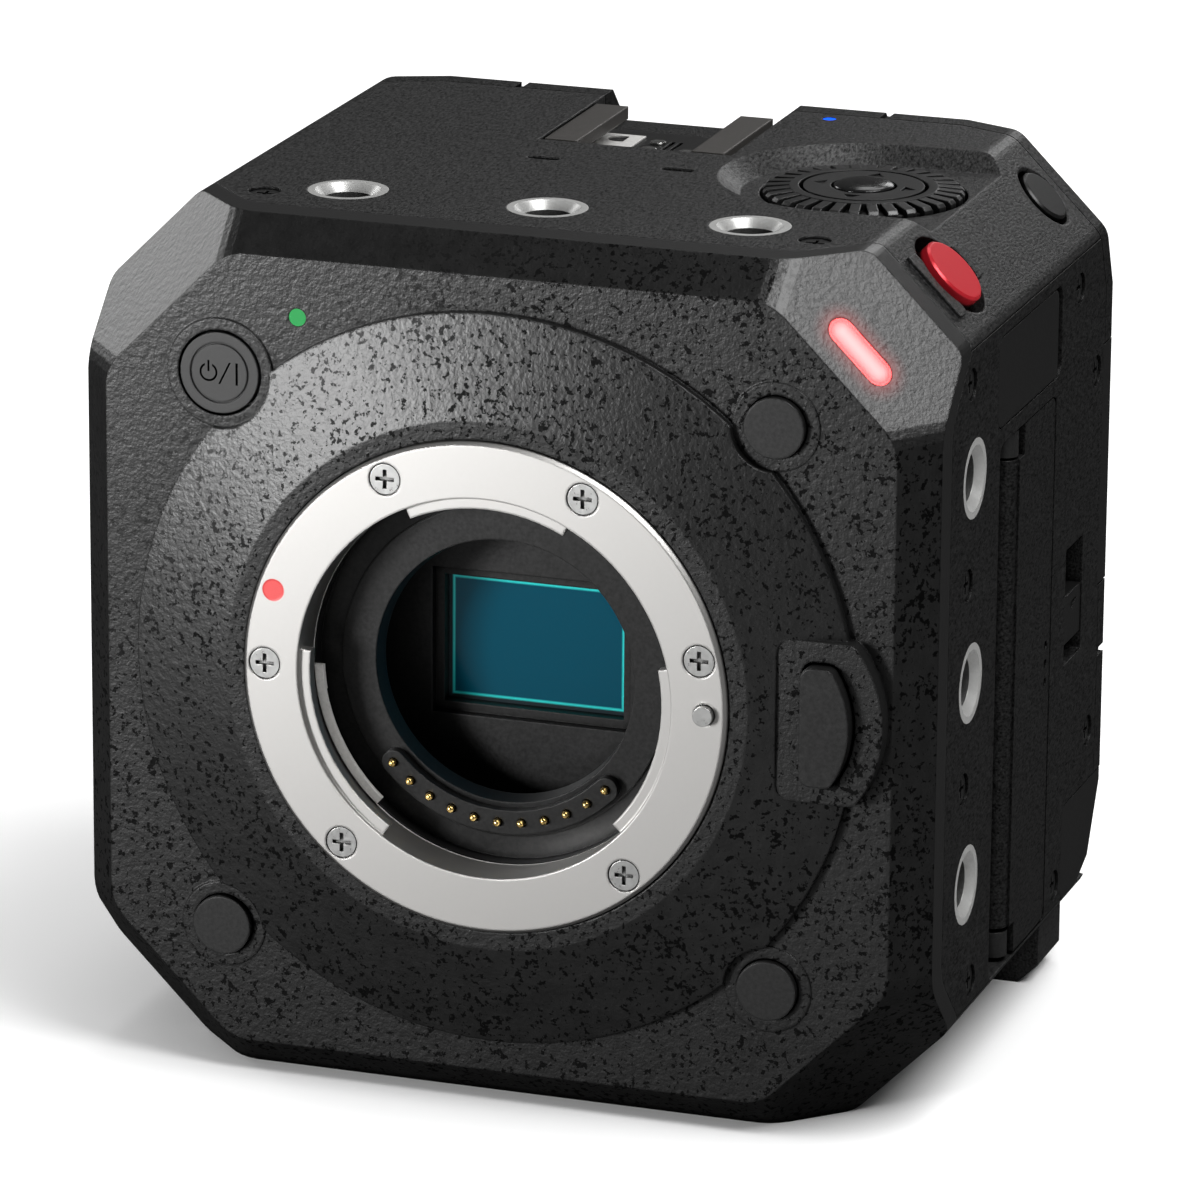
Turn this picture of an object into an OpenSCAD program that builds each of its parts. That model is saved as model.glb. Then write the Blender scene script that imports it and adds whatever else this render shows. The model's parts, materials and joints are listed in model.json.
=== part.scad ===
// Box camera body with an open bayonet lens mount.
// Lengths are in millimetres. The part stands on its base, the mount faces -Y and +Z is up.

/* [Body] */
// Width across the side covers
body_w = 93; // [90:0.5:110]
// Height from the base to the top cover
body_h = 93; // [90:0.5:110]
// Depth from the front face to the rear edge of the covers
body_d = 69; // [66:0.5:80]
// How far the lens flange stands in front of the front face
flange_proud = 3.65; // [3:0.05:4.5]
// How far the battery housing stands behind the rear edge
housing_proud = 5.35; // [4:0.05:8]
// Width of the four long 45 degree edge cuts, measured on a side
edge_cut = 10.1; // [8:0.1:12]
// Radius that rounds the long edges
edge_r = 2.4; // [1:0.1:3.5]
// Wall thickness of the covers
wall = 2; // [1.6:0.1:2.4]
// Thickness of the front cover, measured along the lens axis
front_t = 3.5; // [3:0.1:4]
// Depth of the rear cover rim
rear_rim = 2.6; // [2:0.1:3.5]
// Gap that shows as a seam between two covers
seam = 0.12; // [0.05:0.01:0.2]
// Width of the bevel round the front face, seen from the front
bevel_w = 3.6; // [3:0.1:4.5]
// Depth of the bevel round the front face
bevel_d = 3.9; // [3:0.1:5]
// Depth of the larger bevel at the four front corners
corner_bevel_d = 10.8; // [9:0.1:12]
// Width of the larger bevel at the four front corners
corner_bevel_w = 7.5; // [6:0.1:8.5]
// Blend radius between side bevels and corner bevels
bevel_blend = 6.5; // [4:0.5:8]

/* [Lens mount] */
// Outer radius of the steel mount ring
ring_r = 26.33; // [26:0.01:27]
// Radius of the open throat
throat_r = 20.4; // [20:0.1:21]
// Radius of the throat at the bayonet tabs
tab_r = 19.2; // [19:0.05:19.6]
// Thickness of the bayonet tabs
tab_t = 1.2; // [0.8:0.1:1.5]
// Depth of the tabs below the flange
tab_drop = 0.6; // [0.4:0.1:1]
// Radius of the circle on which the mount screws sit
mount_screw_circle_r = 24; // [23.6:0.1:24.2]
// Head radius of a mount screw
mount_screw_r = 1.62; // [1.4:0.02:1.7]
// Radius of the lens lock pin
lock_pin_r = 1.05; // [0.8:0.05:1.2]
// Height of the lock pin above the flange
lock_pin_proud = 0.8; // [0.5:0.1:1.2]
// Radius of the raised cone round the mount
cone_r = 39.25; // [38:0.05:40]
// Height of the cone's outer edge above the front face
cone_edge = 0.9; // [0.5:0.1:1.2]
// Radius of the flat land round the mount ring
land_r = 28.4; // [27.5:0.1:29]
// Height of the flat land above the front face
land_h = 3; // [2.6:0.1:3.2]
// Radius of the opening in the light baffle
baffle_r = 14.2; // [13.5:0.1:15]
// Number of lens contact pins
contact_count = 11; // [9:1:12]
// Radius of the arc of contact pins
contact_arc_r = 16.1; // [15.5:0.1:16.5]
// Angle between two contact pins
contact_step_angle = 9.3; // [8:0.1:10]

/* [Controls] */
// Travel of the lens release button
release_travel = 1.5; // [1:0.1:2]
// Radius of the round places in the corners of the front face
corner_button_at = 30.1; // [29:0.1:31]
// Radius of the power button
power_r = 4.3; // [4:0.1:4.5]
// Radius of the rubber caps in the front
cap_r = 3.2; // [2.8:0.1:3.4]
// Outer radius of the control dial
dial_r = 10.65; // [10:0.05:11.2]
// Number of grip teeth on the control dial
dial_teeth = 32; // [24:1:40]
// Radius of the rocking pad in the dial
pad_r = 6.4; // [6:0.1:6.6]
// Radius of the centre button in the pad
menu_r = 3.2; // [3:0.1:3.6]
// Radius of the record button
rec_r = 3.85; // [3.5:0.05:4]
// Radius of the cancel button
cancel_r = 3.15; // [2.9:0.05:3.3]
// Radius of the three buttons in the left edge cut
function_r = 3.2; // [2.8:0.05:3.6]
// Clearance round a push button
button_gap = 0.3; // [0.2:0.05:0.4]

/* [Threads and screws] */
// Bore radius of a tripod insert, the inside of its thread
insert_bore_r = 2.6; // [2.5:0.01:2.7]
// Outer radius of a tripod insert
insert_r = 4.25; // [4:0.05:4.5]
// Length of a tripod insert
insert_l = 7.5; // [6:0.1:8]
// Spacing of the tripod inserts
insert_pitch = 22; // [20:0.5:23]
// Distance of the insert rows behind the front face
insert_y = 16; // [14.5:0.1:16.5]
// Head radius of a cover screw
screw_r = 1.6; // [1.4:0.05:1.8]

/* [Shoe] */
// Width of the opening between the shoe rails
shoe_gap = 12.9; // [12.5:0.05:13]
// Width of the slot under the shoe rails
shoe_slot = 18.7; // [18.6:0.05:19]
// Height of the slot under the shoe rails
shoe_slot_h = 2.2; // [2.05:0.05:2.4]
// Outer width of the shoe recess
shoe_w = 21.6; // [21:0.1:22.5]

/* [Right side] */
// Height of the card door
door_h = 59; // [56:0.5:60]
// Width of the card door from its hinge edge
door_w = 15.2; // [14:0.1:16]
// Thickness of the card door
door_t = 1.6; // [1.4:0.1:1.8]
// Widest opening angle of the card door
door_swing = 100; // [80:5:110]

/* [Rear] */
// Width of the battery bay
bay_w = 41; // [39:0.5:42]
// Height of the battery bay
bay_h = 56; // [50:0.5:58]
// Depth of the battery bay
bay_d = 24; // [20:0.5:26]
// Radius of a coaxial video connector
coax_r = 4.8; // [4.7:0.05:5]

/* [Hidden] */
$fn = 64;
over = 0.5;
fine = 0.3;
half_w = body_w / 2;
half_h = body_h / 2;
rear_y = body_d + housing_proud;
front_y = (flange_proud + lock_pin_proud - rear_y) / 2;
sum_max = half_w + half_h - edge_cut;
far = 4 * body_w;
flat_w = half_w - bevel_w;
flat_h = half_h - bevel_w;
face_shell = wall + seam;
root2 = sqrt(2);
side_bevel = atan(bevel_d / bevel_w);
corner_bevel = atan(corner_bevel_d / corner_bevel_w);
corner_start = sum_max / root2 - corner_bevel_w;
upper_corner_cut = 16.7;
lower_corner_cut = 19.8;
upper_slope_share = 0.42;
lower_slope_share = 0.56;
split_drop = 0.4;
cover_split = half_h - edge_cut - split_drop;
inner_w = half_w - face_shell;
inner_h = half_h - face_shell;

// Local frame of the camera: origin on the front face, on the lens axis
module at_front() translate([0, front_y, half_h]) children();

// Extrudes a flat shape drawn in X and Z from depth y0 to depth y1
module slab(y0, y1) {
  translate([0, y1, 0]) rotate([90, 0, 0]) linear_extrude(height = y1 - y0) children();
}

// Cylinder along +Y from depth y0 to depth y1
module rod_y(r, y0, y1, x = 0, z = 0) {
  translate([x, y1, z]) rotate([90, 0, 0]) cylinder(r = r, h = y1 - y0);
}

// Block given by its lower and upper corners
module block(low, high) {
  translate(low) cube([high[0] - low[0], high[1] - low[1], high[2] - low[2]]);
}

// Points of an arc in a flat outline
function arc(cx, cy, r, a0, a1, steps) =
  [for (i = [0:steps]) let (a = a0 + (a1 - a0) * i / steps) [cx + r * cos(a), cy + r * sin(a)]];

// Body outline: a rectangle with 45 degree cuts and rounded edges, moved in by inset
function outline_points(inset, r) =
  let (w = half_w - inset, h = half_h - inset, s = sum_max - inset * root2)
  let (t = r * tan(22.5))
  concat(
    arc(w - r, s - w - t, r, 0, 45, 4),
    arc(s - h - t, h - r, r, 45, 90, 4),
    arc(-(s - h - t), h - r, r, 90, 135, 4),
    arc(-(w - r), s - w - t, r, 135, 180, 4),
    arc(-(w - r), -(s - w - t), r, 180, 225, 4),
    arc(-(s - h - t), -(h - r), r, 225, 270, 4),
    arc(s - h - t, -(h - r), r, 270, 315, 4),
    arc(w - r, -(s - w - t), r, 315, 360, 4));

module outline(inset = 0) polygon(outline_points(inset, max(edge_r - inset, fine)));

// Removes everything beyond a plane through point p with outward normal n
module beyond(n, p) {
  translate(p) rotate([0, acos(n[2]), atan2(n[1], n[0])]) translate([-far, -far, 0])
    cube([2 * far, 2 * far, far]);
}

function unit(v) = v / norm(v);
function bevel_normal(phi, slope) = [sin(slope) * cos(phi), -cos(slope), sin(slope) * sin(phi)];

// The bevels of one quadrant; shift moves them back along the lens axis
module bevels(shift) {
  n_side = bevel_normal(0, side_bevel);
  n_top = bevel_normal(90, side_bevel);
  n_corner = bevel_normal(45, corner_bevel);
  v_side = [flat_w, 0, corner_start * root2 - flat_w];
  v_top = [corner_start * root2 - flat_h, 0, flat_h];
  q_side = v_side - bevel_blend * (n_side + n_corner) / (1 + n_side * n_corner);
  q_top = v_top - bevel_blend * (n_top + n_corner) / (1 + n_top * n_corner);
  translate([0, shift, 0]) {
    beyond(n_side, v_side);
    beyond(n_top, v_top);
    beyond(n_corner, v_side);
    for (share = [0.25, 0.5, 0.75]) {
      m_side = unit(n_side * (1 - share) + n_corner * share);
      m_top = unit(n_top * (1 - share) + n_corner * share);
      beyond(m_side, q_side + bevel_blend * m_side);
      beyond(m_top, q_top + bevel_blend * m_top);
    }
  }
}

// The bevels of the whole front
module all_bevels(shift) {
  for (mx = [0, 1], mz = [0, 1]) mirror([mx, 0, 0]) mirror([0, 0, mz]) bevels(shift);
}

// The slanted rear corners; shift moves them towards the front
module rear_corners(shift) {
  for (mx = [0, 1], mz = [0, 1]) {
    slope = atan((mz == 0 ? upper_slope_share : lower_slope_share) * root2);
    start = half_w + half_h - (mz == 0 ? upper_corner_cut : lower_corner_cut);
    mirror([mx, 0, 0]) mirror([0, 0, mz])
      beyond([sin(slope) / root2, cos(slope), sin(slope) / root2], [start / 2, body_d - shift, start / 2]);
  }
}

// Tube of the four long covers, before it is split
module cover_tube() {
  difference() {
    slab(front_t + seam, body_d - rear_rim - seam) outline();
    slab(0, body_d) outline(wall);
    all_bevels(front_t + seam);
    rear_corners(rear_rim + seam);
  }
}

/* Tripod inserts: three in the top and in each side, two in the base */
insert_rows = [-1, 0, 1];
insert_cone = 0.9;
insert_lip = 0.75;

module insert_places() {
  for (k = insert_rows) {
    translate([k * insert_pitch, insert_y, half_h]) children();
    translate([half_w, insert_y, k * insert_pitch]) rotate([0, 90, 0]) children();
    translate([-half_w, insert_y, k * insert_pitch]) rotate([0, -90, 0]) children();
  }
  for (k = [0, 1]) translate([0, insert_y + k * insert_pitch, -half_h]) rotate([180, 0, 0])
    children();
}

module insert_seats() {
  insert_places() translate([0, 0, -insert_l]) cylinder(r = insert_r, h = insert_l + over);
}

module thread_inserts() {
  color([0.78, 0.78, 0.76]) at_front() insert_places() difference() {
    translate([0, 0, -insert_l]) cylinder(r = insert_r, h = insert_l);
    translate([0, 0, -insert_l - over]) cylinder(r = insert_bore_r, h = insert_l + 2 * over);
    translate([0, 0, -insert_cone]) cylinder(
      r1 = insert_bore_r, r2 = insert_r - insert_lip, h = insert_cone);
    cylinder(r = insert_r - insert_lip, h = over);
  }
}

/* Cover screws, given as places on each cover */
screw_sink = 0.3;
screw_head = 0.9;
screw_shank_r = 0.8;
screw_shank = 2.6;
screw_gap = 0.12;
right_screw_shares = [[0.207, 0.697], [0.807, 0.697], [0.917, 0.46], [0.207, 0.237],
  [0.207, -0.237], [0.268, -0.718], [0.917, -0.417], [0.739, -0.718]];
left_screw_shares = [[0.207, 0.697], [0.807, 0.697], [0.207, 0.237], [0.207, -0.237],
  [0.207, -0.697], [0.807, -0.697]];
top_screw_shares = [[-0.645, 0.183], [0.645, 0.183]];
base_screw_shares = [[-0.645, 0.183], [0.645, 0.183], [-0.645, 0.841], [0.645, 0.841]];

module screw_places() {
  for (p = right_screw_shares) translate([half_w, p[0] * body_d, p[1] * half_h]) rotate([0, 90, 0])
    children();
  for (p = left_screw_shares) translate([-half_w, p[0] * body_d, p[1] * half_h]) rotate([0, -90, 0])
    children();
  for (p = top_screw_shares) translate([p[0] * half_w, p[1] * body_d, half_h]) children();
  for (p = base_screw_shares) translate([p[0] * half_w, p[1] * body_d, -half_h]) rotate([180, 0, 0])
    children();
}

module cross_recess(r, depth) {
  width = r / 4;
  for (a = [0, 90]) rotate([0, 0, a]) translate([-r * 0.62, -width / 2, -depth])
    cube([r * 1.24, width, depth + over]);
}

module case_screws() {
  color([0.05, 0.05, 0.05]) at_front() screw_places() difference() {
    union() {
      translate([0, 0, -screw_sink - screw_head]) cylinder(r = screw_r, h = screw_head);
      translate([0, 0, -screw_sink - screw_head - screw_shank])
        cylinder(r = screw_shank_r, h = screw_shank);
    }
    translate([0, 0, -screw_sink]) cross_recess(screw_r, screw_head / 2);
  }
}

module screw_holes() {
  screw_places() {
    translate([0, 0, -screw_sink - screw_head]) cylinder(r = screw_r + screw_gap, h = edge_cut);
    translate([0, 0, -screw_sink - screw_head - screw_shank - over])
      cylinder(r = screw_shank_r + screw_gap, h = screw_shank + 2 * over);
  }
}

/* Front cover with the cone, the land round the mount and the release housing */
land_bore = ring_r + 0.15;
bezel_r = 5.8;
bezel_h = 0.25;
cap_bezel_r = 4.65;
housing_h = 2.1;
housing_x = 31.2;
housing_top = 8.5;
housing_bottom = -8.7;
housing_r = 13.3;
housing_cx = 29.2;
release_x = 34.1;
release_r = 10.9;
release_cx = 28.4;
release_half = 6.3;
release_z = -0.2;
release_corner = 1.1;
housing_corner = 1.5;
power_lamp_r = 0.95;
power_lamp_x = -21.6;
power_lamp_z = 36.7;
tally_inset = 5.16;
tally_at = (sum_max / root2 - tally_inset) / root2;
tally_shift = (half_w - half_h) / 2;
tally_half = 2.72;
tally_r = 1.5;
corner_signs = [[1, 1], [-1, -1], [1, -1]];

module cone_body() {
  rotate([90, 0, 0]) rotate_extrude($fn = 128) polygon([
    [land_bore, 0], [cone_r, 0], [cone_r, cone_edge], [land_r, land_h], [land_bore, land_h]]);
}

// D-shaped outline: straight left side at x, arc of radius r round [cx, cz], corner radius c
function d_points(x, low, high, r, cx, cz, c) =
  let (low_c = low + c - cz, high_c = high - c - cz)
  let (low_x = sqrt((r - c) * (r - c) - low_c * low_c))
  let (high_x = sqrt((r - c) * (r - c) - high_c * high_c))
  let (low_a = atan2(low_c, low_x), high_a = atan2(high_c, high_x), step = (high_a - low_a) / 16)
  concat(
    arc(x + c, high - c, c, 90, 180, 4),
    arc(x + c, low + c, c, 180, 270, 4),
    arc(cx + low_x, low + c, c, -90, low_a, 4),
    arc(cx, cz, r, low_a + step, high_a - step, 14),
    arc(cx + high_x, high - c, c, high_a, 90, 4));

// Flat outline of the release button and its hole
module release_outline(grow) {
  polygon(d_points(release_x - grow, release_z - release_half - grow, release_z + release_half + grow,
    release_r + grow, release_cx, release_z, release_corner + grow));
}

module housing_outline() {
  polygon(d_points(housing_x, housing_bottom, housing_top, housing_r, housing_cx, release_z,
    housing_corner));
}

// Places a flat shape on the bevel of the top right corner
module on_tally_bevel() {
  y = corner_bevel_d / corner_bevel_w * (tally_at * root2 - corner_start);
  translate([tally_at + tally_shift, y, tally_at - tally_shift]) rotate([0, -45, 0]) rotate([0, 0, corner_bevel])
    rotate([90, 0, 0]) children();
}

module tally_slot(grow, low, high) {
  on_tally_bevel() translate([0, 0, low]) {
    block([-tally_r - grow, -tally_half, 0], [tally_r + grow, tally_half, high - low]);
    for (s = [-1, 1]) translate([0, s * tally_half, 0]) cylinder(r = tally_r + grow, h = high - low);
  }
}

module front_cover() {
  color([0.23, 0.23, 0.23]) at_front() difference() {
    union() {
      difference() {
        slab(0, body_d / 3) outline();
        all_bevels(0);
        difference() {
          slab(front_t, body_d / 2) outline(-over);
          all_bevels(front_t);
        }
      }
      cone_body();
      slab(-housing_h, front_t / 2) housing_outline();
      rod_y(bezel_r, -bezel_h, front_t / 2, -corner_button_at, corner_button_at);
      for (s = corner_signs)
        rod_y(cap_bezel_r, -bezel_h / 2, front_t / 2, s[0] * corner_button_at, s[1] * corner_button_at);
    }
    rod_y(land_bore, -2 * flange_proud, 2 * front_t);
    rod_y(bezel_r, -2 * flange_proud, -bezel_h, -corner_button_at, corner_button_at);
    rod_y(power_r + button_gap, -flange_proud, 2 * front_t, -corner_button_at, corner_button_at);
    for (s = corner_signs) {
      x = s[0] * corner_button_at;
      z = s[1] * corner_button_at;
      rod_y(cap_bezel_r, -2 * flange_proud, -bezel_h / 2, x, z);
      rod_y(cap_r + button_gap / 2, -flange_proud, 2 * front_t, x, z);
    }
    rod_y(power_lamp_r, -over, 2 * front_t, power_lamp_x, power_lamp_z);
    slab(-2 * flange_proud, 2 * front_t) release_outline(button_gap);
    translate([0, -flange_proud, 0]) slab(0, flange_proud - housing_h) housing_outline();
    tally_slot(0, -edge_cut, edge_cut);
  }
}

/* Lens mount */
mount_back = 1.2;
tab_angles = [[64, 115], [174, 237], [317, 372]];
mount_screw_angles = [116.5, 63.5, 13.5, -49.8, -130.3, 179.2];
mount_screw_head = 1;
mount_screw_sink = 0.08;
mount_shank_r = 0.9;
mount_shank = 5.2;
ring_edge = 0.35;

module sector(r0, r1, a0, a1) {
  n = 12;
  polygon(concat(arc(0, 0, r1, a0, a1, n), arc(0, 0, r0, a1, a0, n)));
}

module polar_y(r, a) translate([r * cos(a), 0, r * sin(a)]) children();

module mount_ring() {
  color([0.74, 0.73, 0.71]) at_front() difference() {
    union() {
      rotate([90, 0, 0]) rotate_extrude($fn = 128) polygon([
        [throat_r, flange_proud], [ring_r - ring_edge, flange_proud],
        [ring_r, flange_proud - ring_edge], [ring_r, -mount_back], [throat_r, -mount_back]]);
      for (a = tab_angles)
        translate([0, tab_drop - flange_proud, 0]) slab(0, tab_t)
          sector(tab_r, throat_r + fine, a[0], a[1]);
    }
    for (a = mount_screw_angles) polar_y(mount_screw_circle_r, a) {
      rod_y(mount_screw_r + screw_gap, -2 * flange_proud,
        mount_screw_sink + mount_screw_head - flange_proud);
      rod_y(mount_shank_r + screw_gap, -flange_proud, 2 * front_t);
    }
    polar_y(mount_screw_circle_r, 0) rod_y(lock_pin_r + button_gap / 3, -2 * flange_proud, 2 * front_t);
  }
}

module mount_screws() {
  color([0.7, 0.7, 0.69]) at_front() for (a = mount_screw_angles)
    polar_y(mount_screw_circle_r, a) translate([0, mount_screw_sink - flange_proud, 0])
      rotate([90, 0, 0]) difference() {
        union() {
          translate([0, 0, -mount_screw_head]) cylinder(r = mount_screw_r, h = mount_screw_head);
          translate([0, 0, -mount_screw_head - mount_shank])
            cylinder(r = mount_shank_r, h = mount_shank);
        }
        cross_recess(mount_screw_r, mount_screw_head / 2);
      }
}

// Leaf spring ring that pulls the lens tabs against the mount tabs
spring_t = 0.25;
spring_r = 22.2;

module mount_spring() {
  color([0.6, 0.6, 0.58]) at_front() {
    difference() {
      rod_y(spring_r, mount_back, mount_back + spring_t);
      rod_y(throat_r, 0, 2 * front_t);
    }
    for (a = tab_angles) translate([0, mount_back - 2 * spring_t, 0])
      slab(0, 2 * spring_t) sector(tab_r, throat_r - fine, a[0] + 8, a[1] - 8);
    for (a = tab_angles) translate([0, mount_back, 0])
      slab(0, spring_t) sector(tab_r, throat_r + fine, a[0] + 8, a[0] + 16);
  }
}

/* Lens lock: the pin is drawn in by the release button */
lever_t = 1.2;
lever_w = 2.4;
lever_end = 37;
release_proud = 1.55;
release_flange = 0.8;
lever_y = front_t + fine + release_flange;

module lock_pin() {
  color([0.72, 0.72, 0.7]) at_front() {
    polar_y(mount_screw_circle_r, 0) rod_y(lock_pin_r, -flange_proud - lock_pin_proud, lever_y + lever_t);
    block([mount_screw_circle_r - lock_pin_r, lever_y, -lever_w / 2], [lever_end, lever_y + lever_t, lever_w / 2]);
  }
}

module release_button() {
  color([0.09, 0.09, 0.09]) at_front() {
    slab(-housing_h - release_proud, front_t) release_outline(0);
    slab(front_t + fine, front_t + fine + release_flange) release_outline(release_flange);
    slab(front_t - fine, front_t + 2 * fine) release_outline(0);
  }
}

/* Light baffle, contacts and sensor */
box_r = 22.2;
box_t = 1.2;
baffle_y = 3.2;
baffle_lip = 2.2;
throat_step = 17.9;
box_back = 11.5;
window_w = 19.9;
window_h = 13.94;
frame_t = 1;
glass_t = 1.2;
glass_y = 13.9;
chip_y = 15.6;
board_y = 17.6;
board_t = 1.2;
contact_block_w = 2.6;
contact_block_h = 1.1;
contact_r = 0.42;
contact_proud = 0.75;
contact_mid_angle = -91;
pin_gap = 0.08;
pin_tail = 0.9;

module mount_baffle() {
  color([0.04, 0.04, 0.04]) at_front() difference() {
    rotate([90, 0, 0]) rotate_extrude($fn = 128) polygon([
      [baffle_r, -baffle_y], [throat_step, -baffle_y], [throat_step, -baffle_y - fine],
      [throat_r, -baffle_y - fine], [throat_r, -mount_back - spring_t - fine],
      [box_r, -mount_back - spring_t - fine], [box_r, -box_back], [box_r - box_t, -box_back],
      [box_r - box_t, -baffle_y - box_t], [baffle_r + box_t, -baffle_y - box_t],
      [baffle_r + box_t, -baffle_y - baffle_lip], [baffle_r - fine, -baffle_y - baffle_lip]]);
    contact_bores(baffle_y - fine, baffle_y + 2 * box_t);
  }
}

module contact_bores(y0, y1) {
  for (i = [0:contact_count - 1]) polar_y(contact_arc_r, contact_angle(i))
    rod_y(contact_r + pin_gap, y0, y1);
}

function contact_angle(i) = contact_mid_angle + (i - (contact_count - 1) / 2) * contact_step_angle;

module contact_block() {
  first = contact_angle(0);
  last = contact_angle(contact_count - 1);
  r0 = contact_arc_r - contact_block_w / 2;
  r1 = contact_arc_r + contact_block_w / 2;
  color([0.07, 0.07, 0.07]) at_front() difference() {
    union() {
      slab(baffle_y - contact_block_h, baffle_y) sector(r0, r1, first, last);
      for (a = [first, last]) polar_y(contact_arc_r, a)
        rod_y(contact_block_w / 2, baffle_y - contact_block_h, baffle_y);
    }
    contact_bores(0, baffle_y + over);
  }
}

module contact_pins() {
  color([0.8, 0.68, 0.4]) at_front() for (i = [0:contact_count - 1])
    polar_y(contact_arc_r, contact_angle(i)) {
      rod_y(contact_r, baffle_y - contact_block_h - contact_proud + contact_r,
        baffle_y + pin_tail);
      translate([0, baffle_y - contact_block_h - contact_proud + contact_r, 0])
        sphere(r = contact_r, $fn = 24);
    }
}

module sensor_frame() {
  color([0.06, 0.06, 0.06]) at_front() {
    difference() {
      rod_y(box_r, box_back, box_back + frame_t);
      slab(0, body_d) square([window_w + 2 * frame_t, window_h + 2 * frame_t], center = true);
    }
    difference() {
      slab(box_back + frame_t, board_y)
        square([window_w + 8 * frame_t, window_h + 8 * frame_t], center = true);
      slab(0, body_d) square([window_w + 4 * frame_t, window_h + 4 * frame_t], center = true);
    }
    difference() {
      slab(box_back + frame_t, glass_y)
        square([window_w + 5 * frame_t, window_h + 5 * frame_t], center = true);
      slab(0, body_d) square([window_w, window_h], center = true);
    }
  }
}

module sensor_glass() {
  color([0.02, 0.3, 0.38, 0.8]) at_front() slab(glass_y, glass_y + glass_t)
    square([window_w + 3.6 * frame_t, window_h + 3.6 * frame_t], center = true);
}

module image_sensor() {
  color([0.03, 0.2, 0.26]) at_front() slab(chip_y, board_y)
    square([window_w + 2 * frame_t, window_h + 2 * frame_t], center = true);
}

sensor_board_w = 44;
sensor_board_h = 38;

module sensor_board() {
  color([0.05, 0.25, 0.12]) at_front() slab(board_y, board_y + board_t)
    square([sensor_board_w, sensor_board_h], center = true);
}

/* Chassis: cast frame that holds the inserts, the mount and the boards */
chassis_y = 21.6;
rail_t = 8.2;
chassis_cut = 11;
plate_y = 7.6;
post_r = 2.2;
post_l = 3;
post_x = 24;

module chassis() {
  gap = seam;
  color([0.45, 0.45, 0.46]) at_front() difference() {
    union() {
      difference() {
        slab(front_t + gap, chassis_y) outline(face_shell);
        all_bevels(front_t + gap);
        slab(plate_y, chassis_y + over)
          square([2 * (half_w - wall - rail_t), 2 * (half_h - wall - rail_t)], center = true);
        for (mx = [0, 1], mz = [0, 1]) mirror([mx, 0, 0]) mirror([0, 0, mz])
          slab(plate_y, chassis_y + over) translate([half_w - wall - chassis_cut, half_h - wall - chassis_cut])
            square([far, far]);
      }
      for (sx = [-1, 1], sz = [-1, 1])
        rod_y(post_r, plate_y, chassis_y + post_l, sx * post_x, sz * post_x);
      rod_y(ring_r, mount_back, plate_y);
    }
    rod_y(box_r + seam, 0, plate_y + over);
    for (a = mount_screw_angles) polar_y(mount_screw_circle_r, a)
      rod_y(mount_shank_r + screw_gap, 0, plate_y + over);
    polar_y(mount_screw_circle_r, 0) rod_y(lock_pin_r + button_gap / 3, 0, plate_y + over);
    block([mount_screw_circle_r - lock_pin_r - button_gap, lever_y - button_gap, -lever_w / 2 - button_gap],
      [lever_end + button_gap, plate_y + over, lever_w / 2 + button_gap]);
    slab(0, plate_y + over) release_outline(release_flange + button_gap);
    rod_y(power_r + 4 * button_gap, 0, plate_y + over, -corner_button_at, corner_button_at);
    rod_y(power_lamp_r + 2 * button_gap, 0, plate_y + over, power_lamp_x, power_lamp_z);
    for (s = corner_signs)
      rod_y(cap_r + 2 * button_gap, 0, plate_y + over, s[0] * corner_button_at, s[1] * corner_button_at);
    tally_slot(2 * fine, -edge_cut, 0);
    insert_seats();
    screw_holes();
  }
}

/* Push buttons, caps and lamps of the front */
power_proud = 0.1;
power_line_r = 3.25;
power_line = 0.18;
button_flange = 0.9;
button_flange_t = 0.8;
cap_proud = 0.9;
cap_t = 3;
lamp_gap = 0.02;
lamp_sink = 0.05;

module power_button() {
  front = -bezel_h - power_proud;
  color([0.24, 0.24, 0.24]) at_front() difference() {
    union() {
      rod_y(power_r, front, front_t + fine, -corner_button_at, corner_button_at);
      rod_y(power_r + button_flange, front_t + fine, front_t + fine + button_flange_t,
        -corner_button_at, corner_button_at);
    }
    difference() {
      rod_y(power_line_r, -flange_proud, front + power_line, -corner_button_at, corner_button_at);
      rod_y(power_line_r - power_line, -flange_proud, 0, -corner_button_at, corner_button_at);
    }
  }
}

module front_caps() {
  color([0.1, 0.1, 0.1]) at_front() for (s = corner_signs)
    rod_y(cap_r, -cap_proud, cap_t, s[0] * corner_button_at, s[1] * corner_button_at);
}

module power_lamp() {
  color([0.1, 0.75, 0.2]) at_front()
    rod_y(power_lamp_r - lamp_gap, lamp_sink, front_t + fine, power_lamp_x, power_lamp_z);
}

module tally_lamp() {
  color([0.95, 0.12, 0.1]) at_front() tally_slot(-lamp_gap, -wall, -lamp_sink);
}

/* Top cover with the dish of the control dial and the recess of the shoe */
dial_x = 26.9;
dial_y = 39.9;
dish_r = 15.4;
dish_floor_r = 13.1;
dish_d = 1.8;
dish_floor_t = 1.6;
well_gap = 0.35;
well_d = 4.2;
dial_axle_r = 2;
shoe_front = 44.2;
shoe_end_gap = 0.3;
rail_drop = 0.2;
rail_top_t = 1.4;
shoe_plate_t = 0.6;
shoe_base_t = 1.2;
shoe_floor_z = half_h - rail_drop - rail_top_t - shoe_slot_h - shoe_plate_t;
slot_w = 3.6;
slot_l = 1.3;
slot_y = 36.3;
slot_x = 7.5;
network_x = 15.6;
network_y = 64.1;
network_r = 0.75;
rec_y = 22.7;
rec_hole_r = 5;
cancel_y = 58.4;
cancel_hole_r = 3.65;
hole_rim = 0.3;
left_button_share = 0.58;
left_button_pitch = 14;
edge_flange = 0.7;
edge_flange_t = 0.8;
guard_out = 6.4;
guard_w = 2.2;
guard_h = 0.4;
guard_l = 8.1;
guard_rear_l = 4.3;

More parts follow.
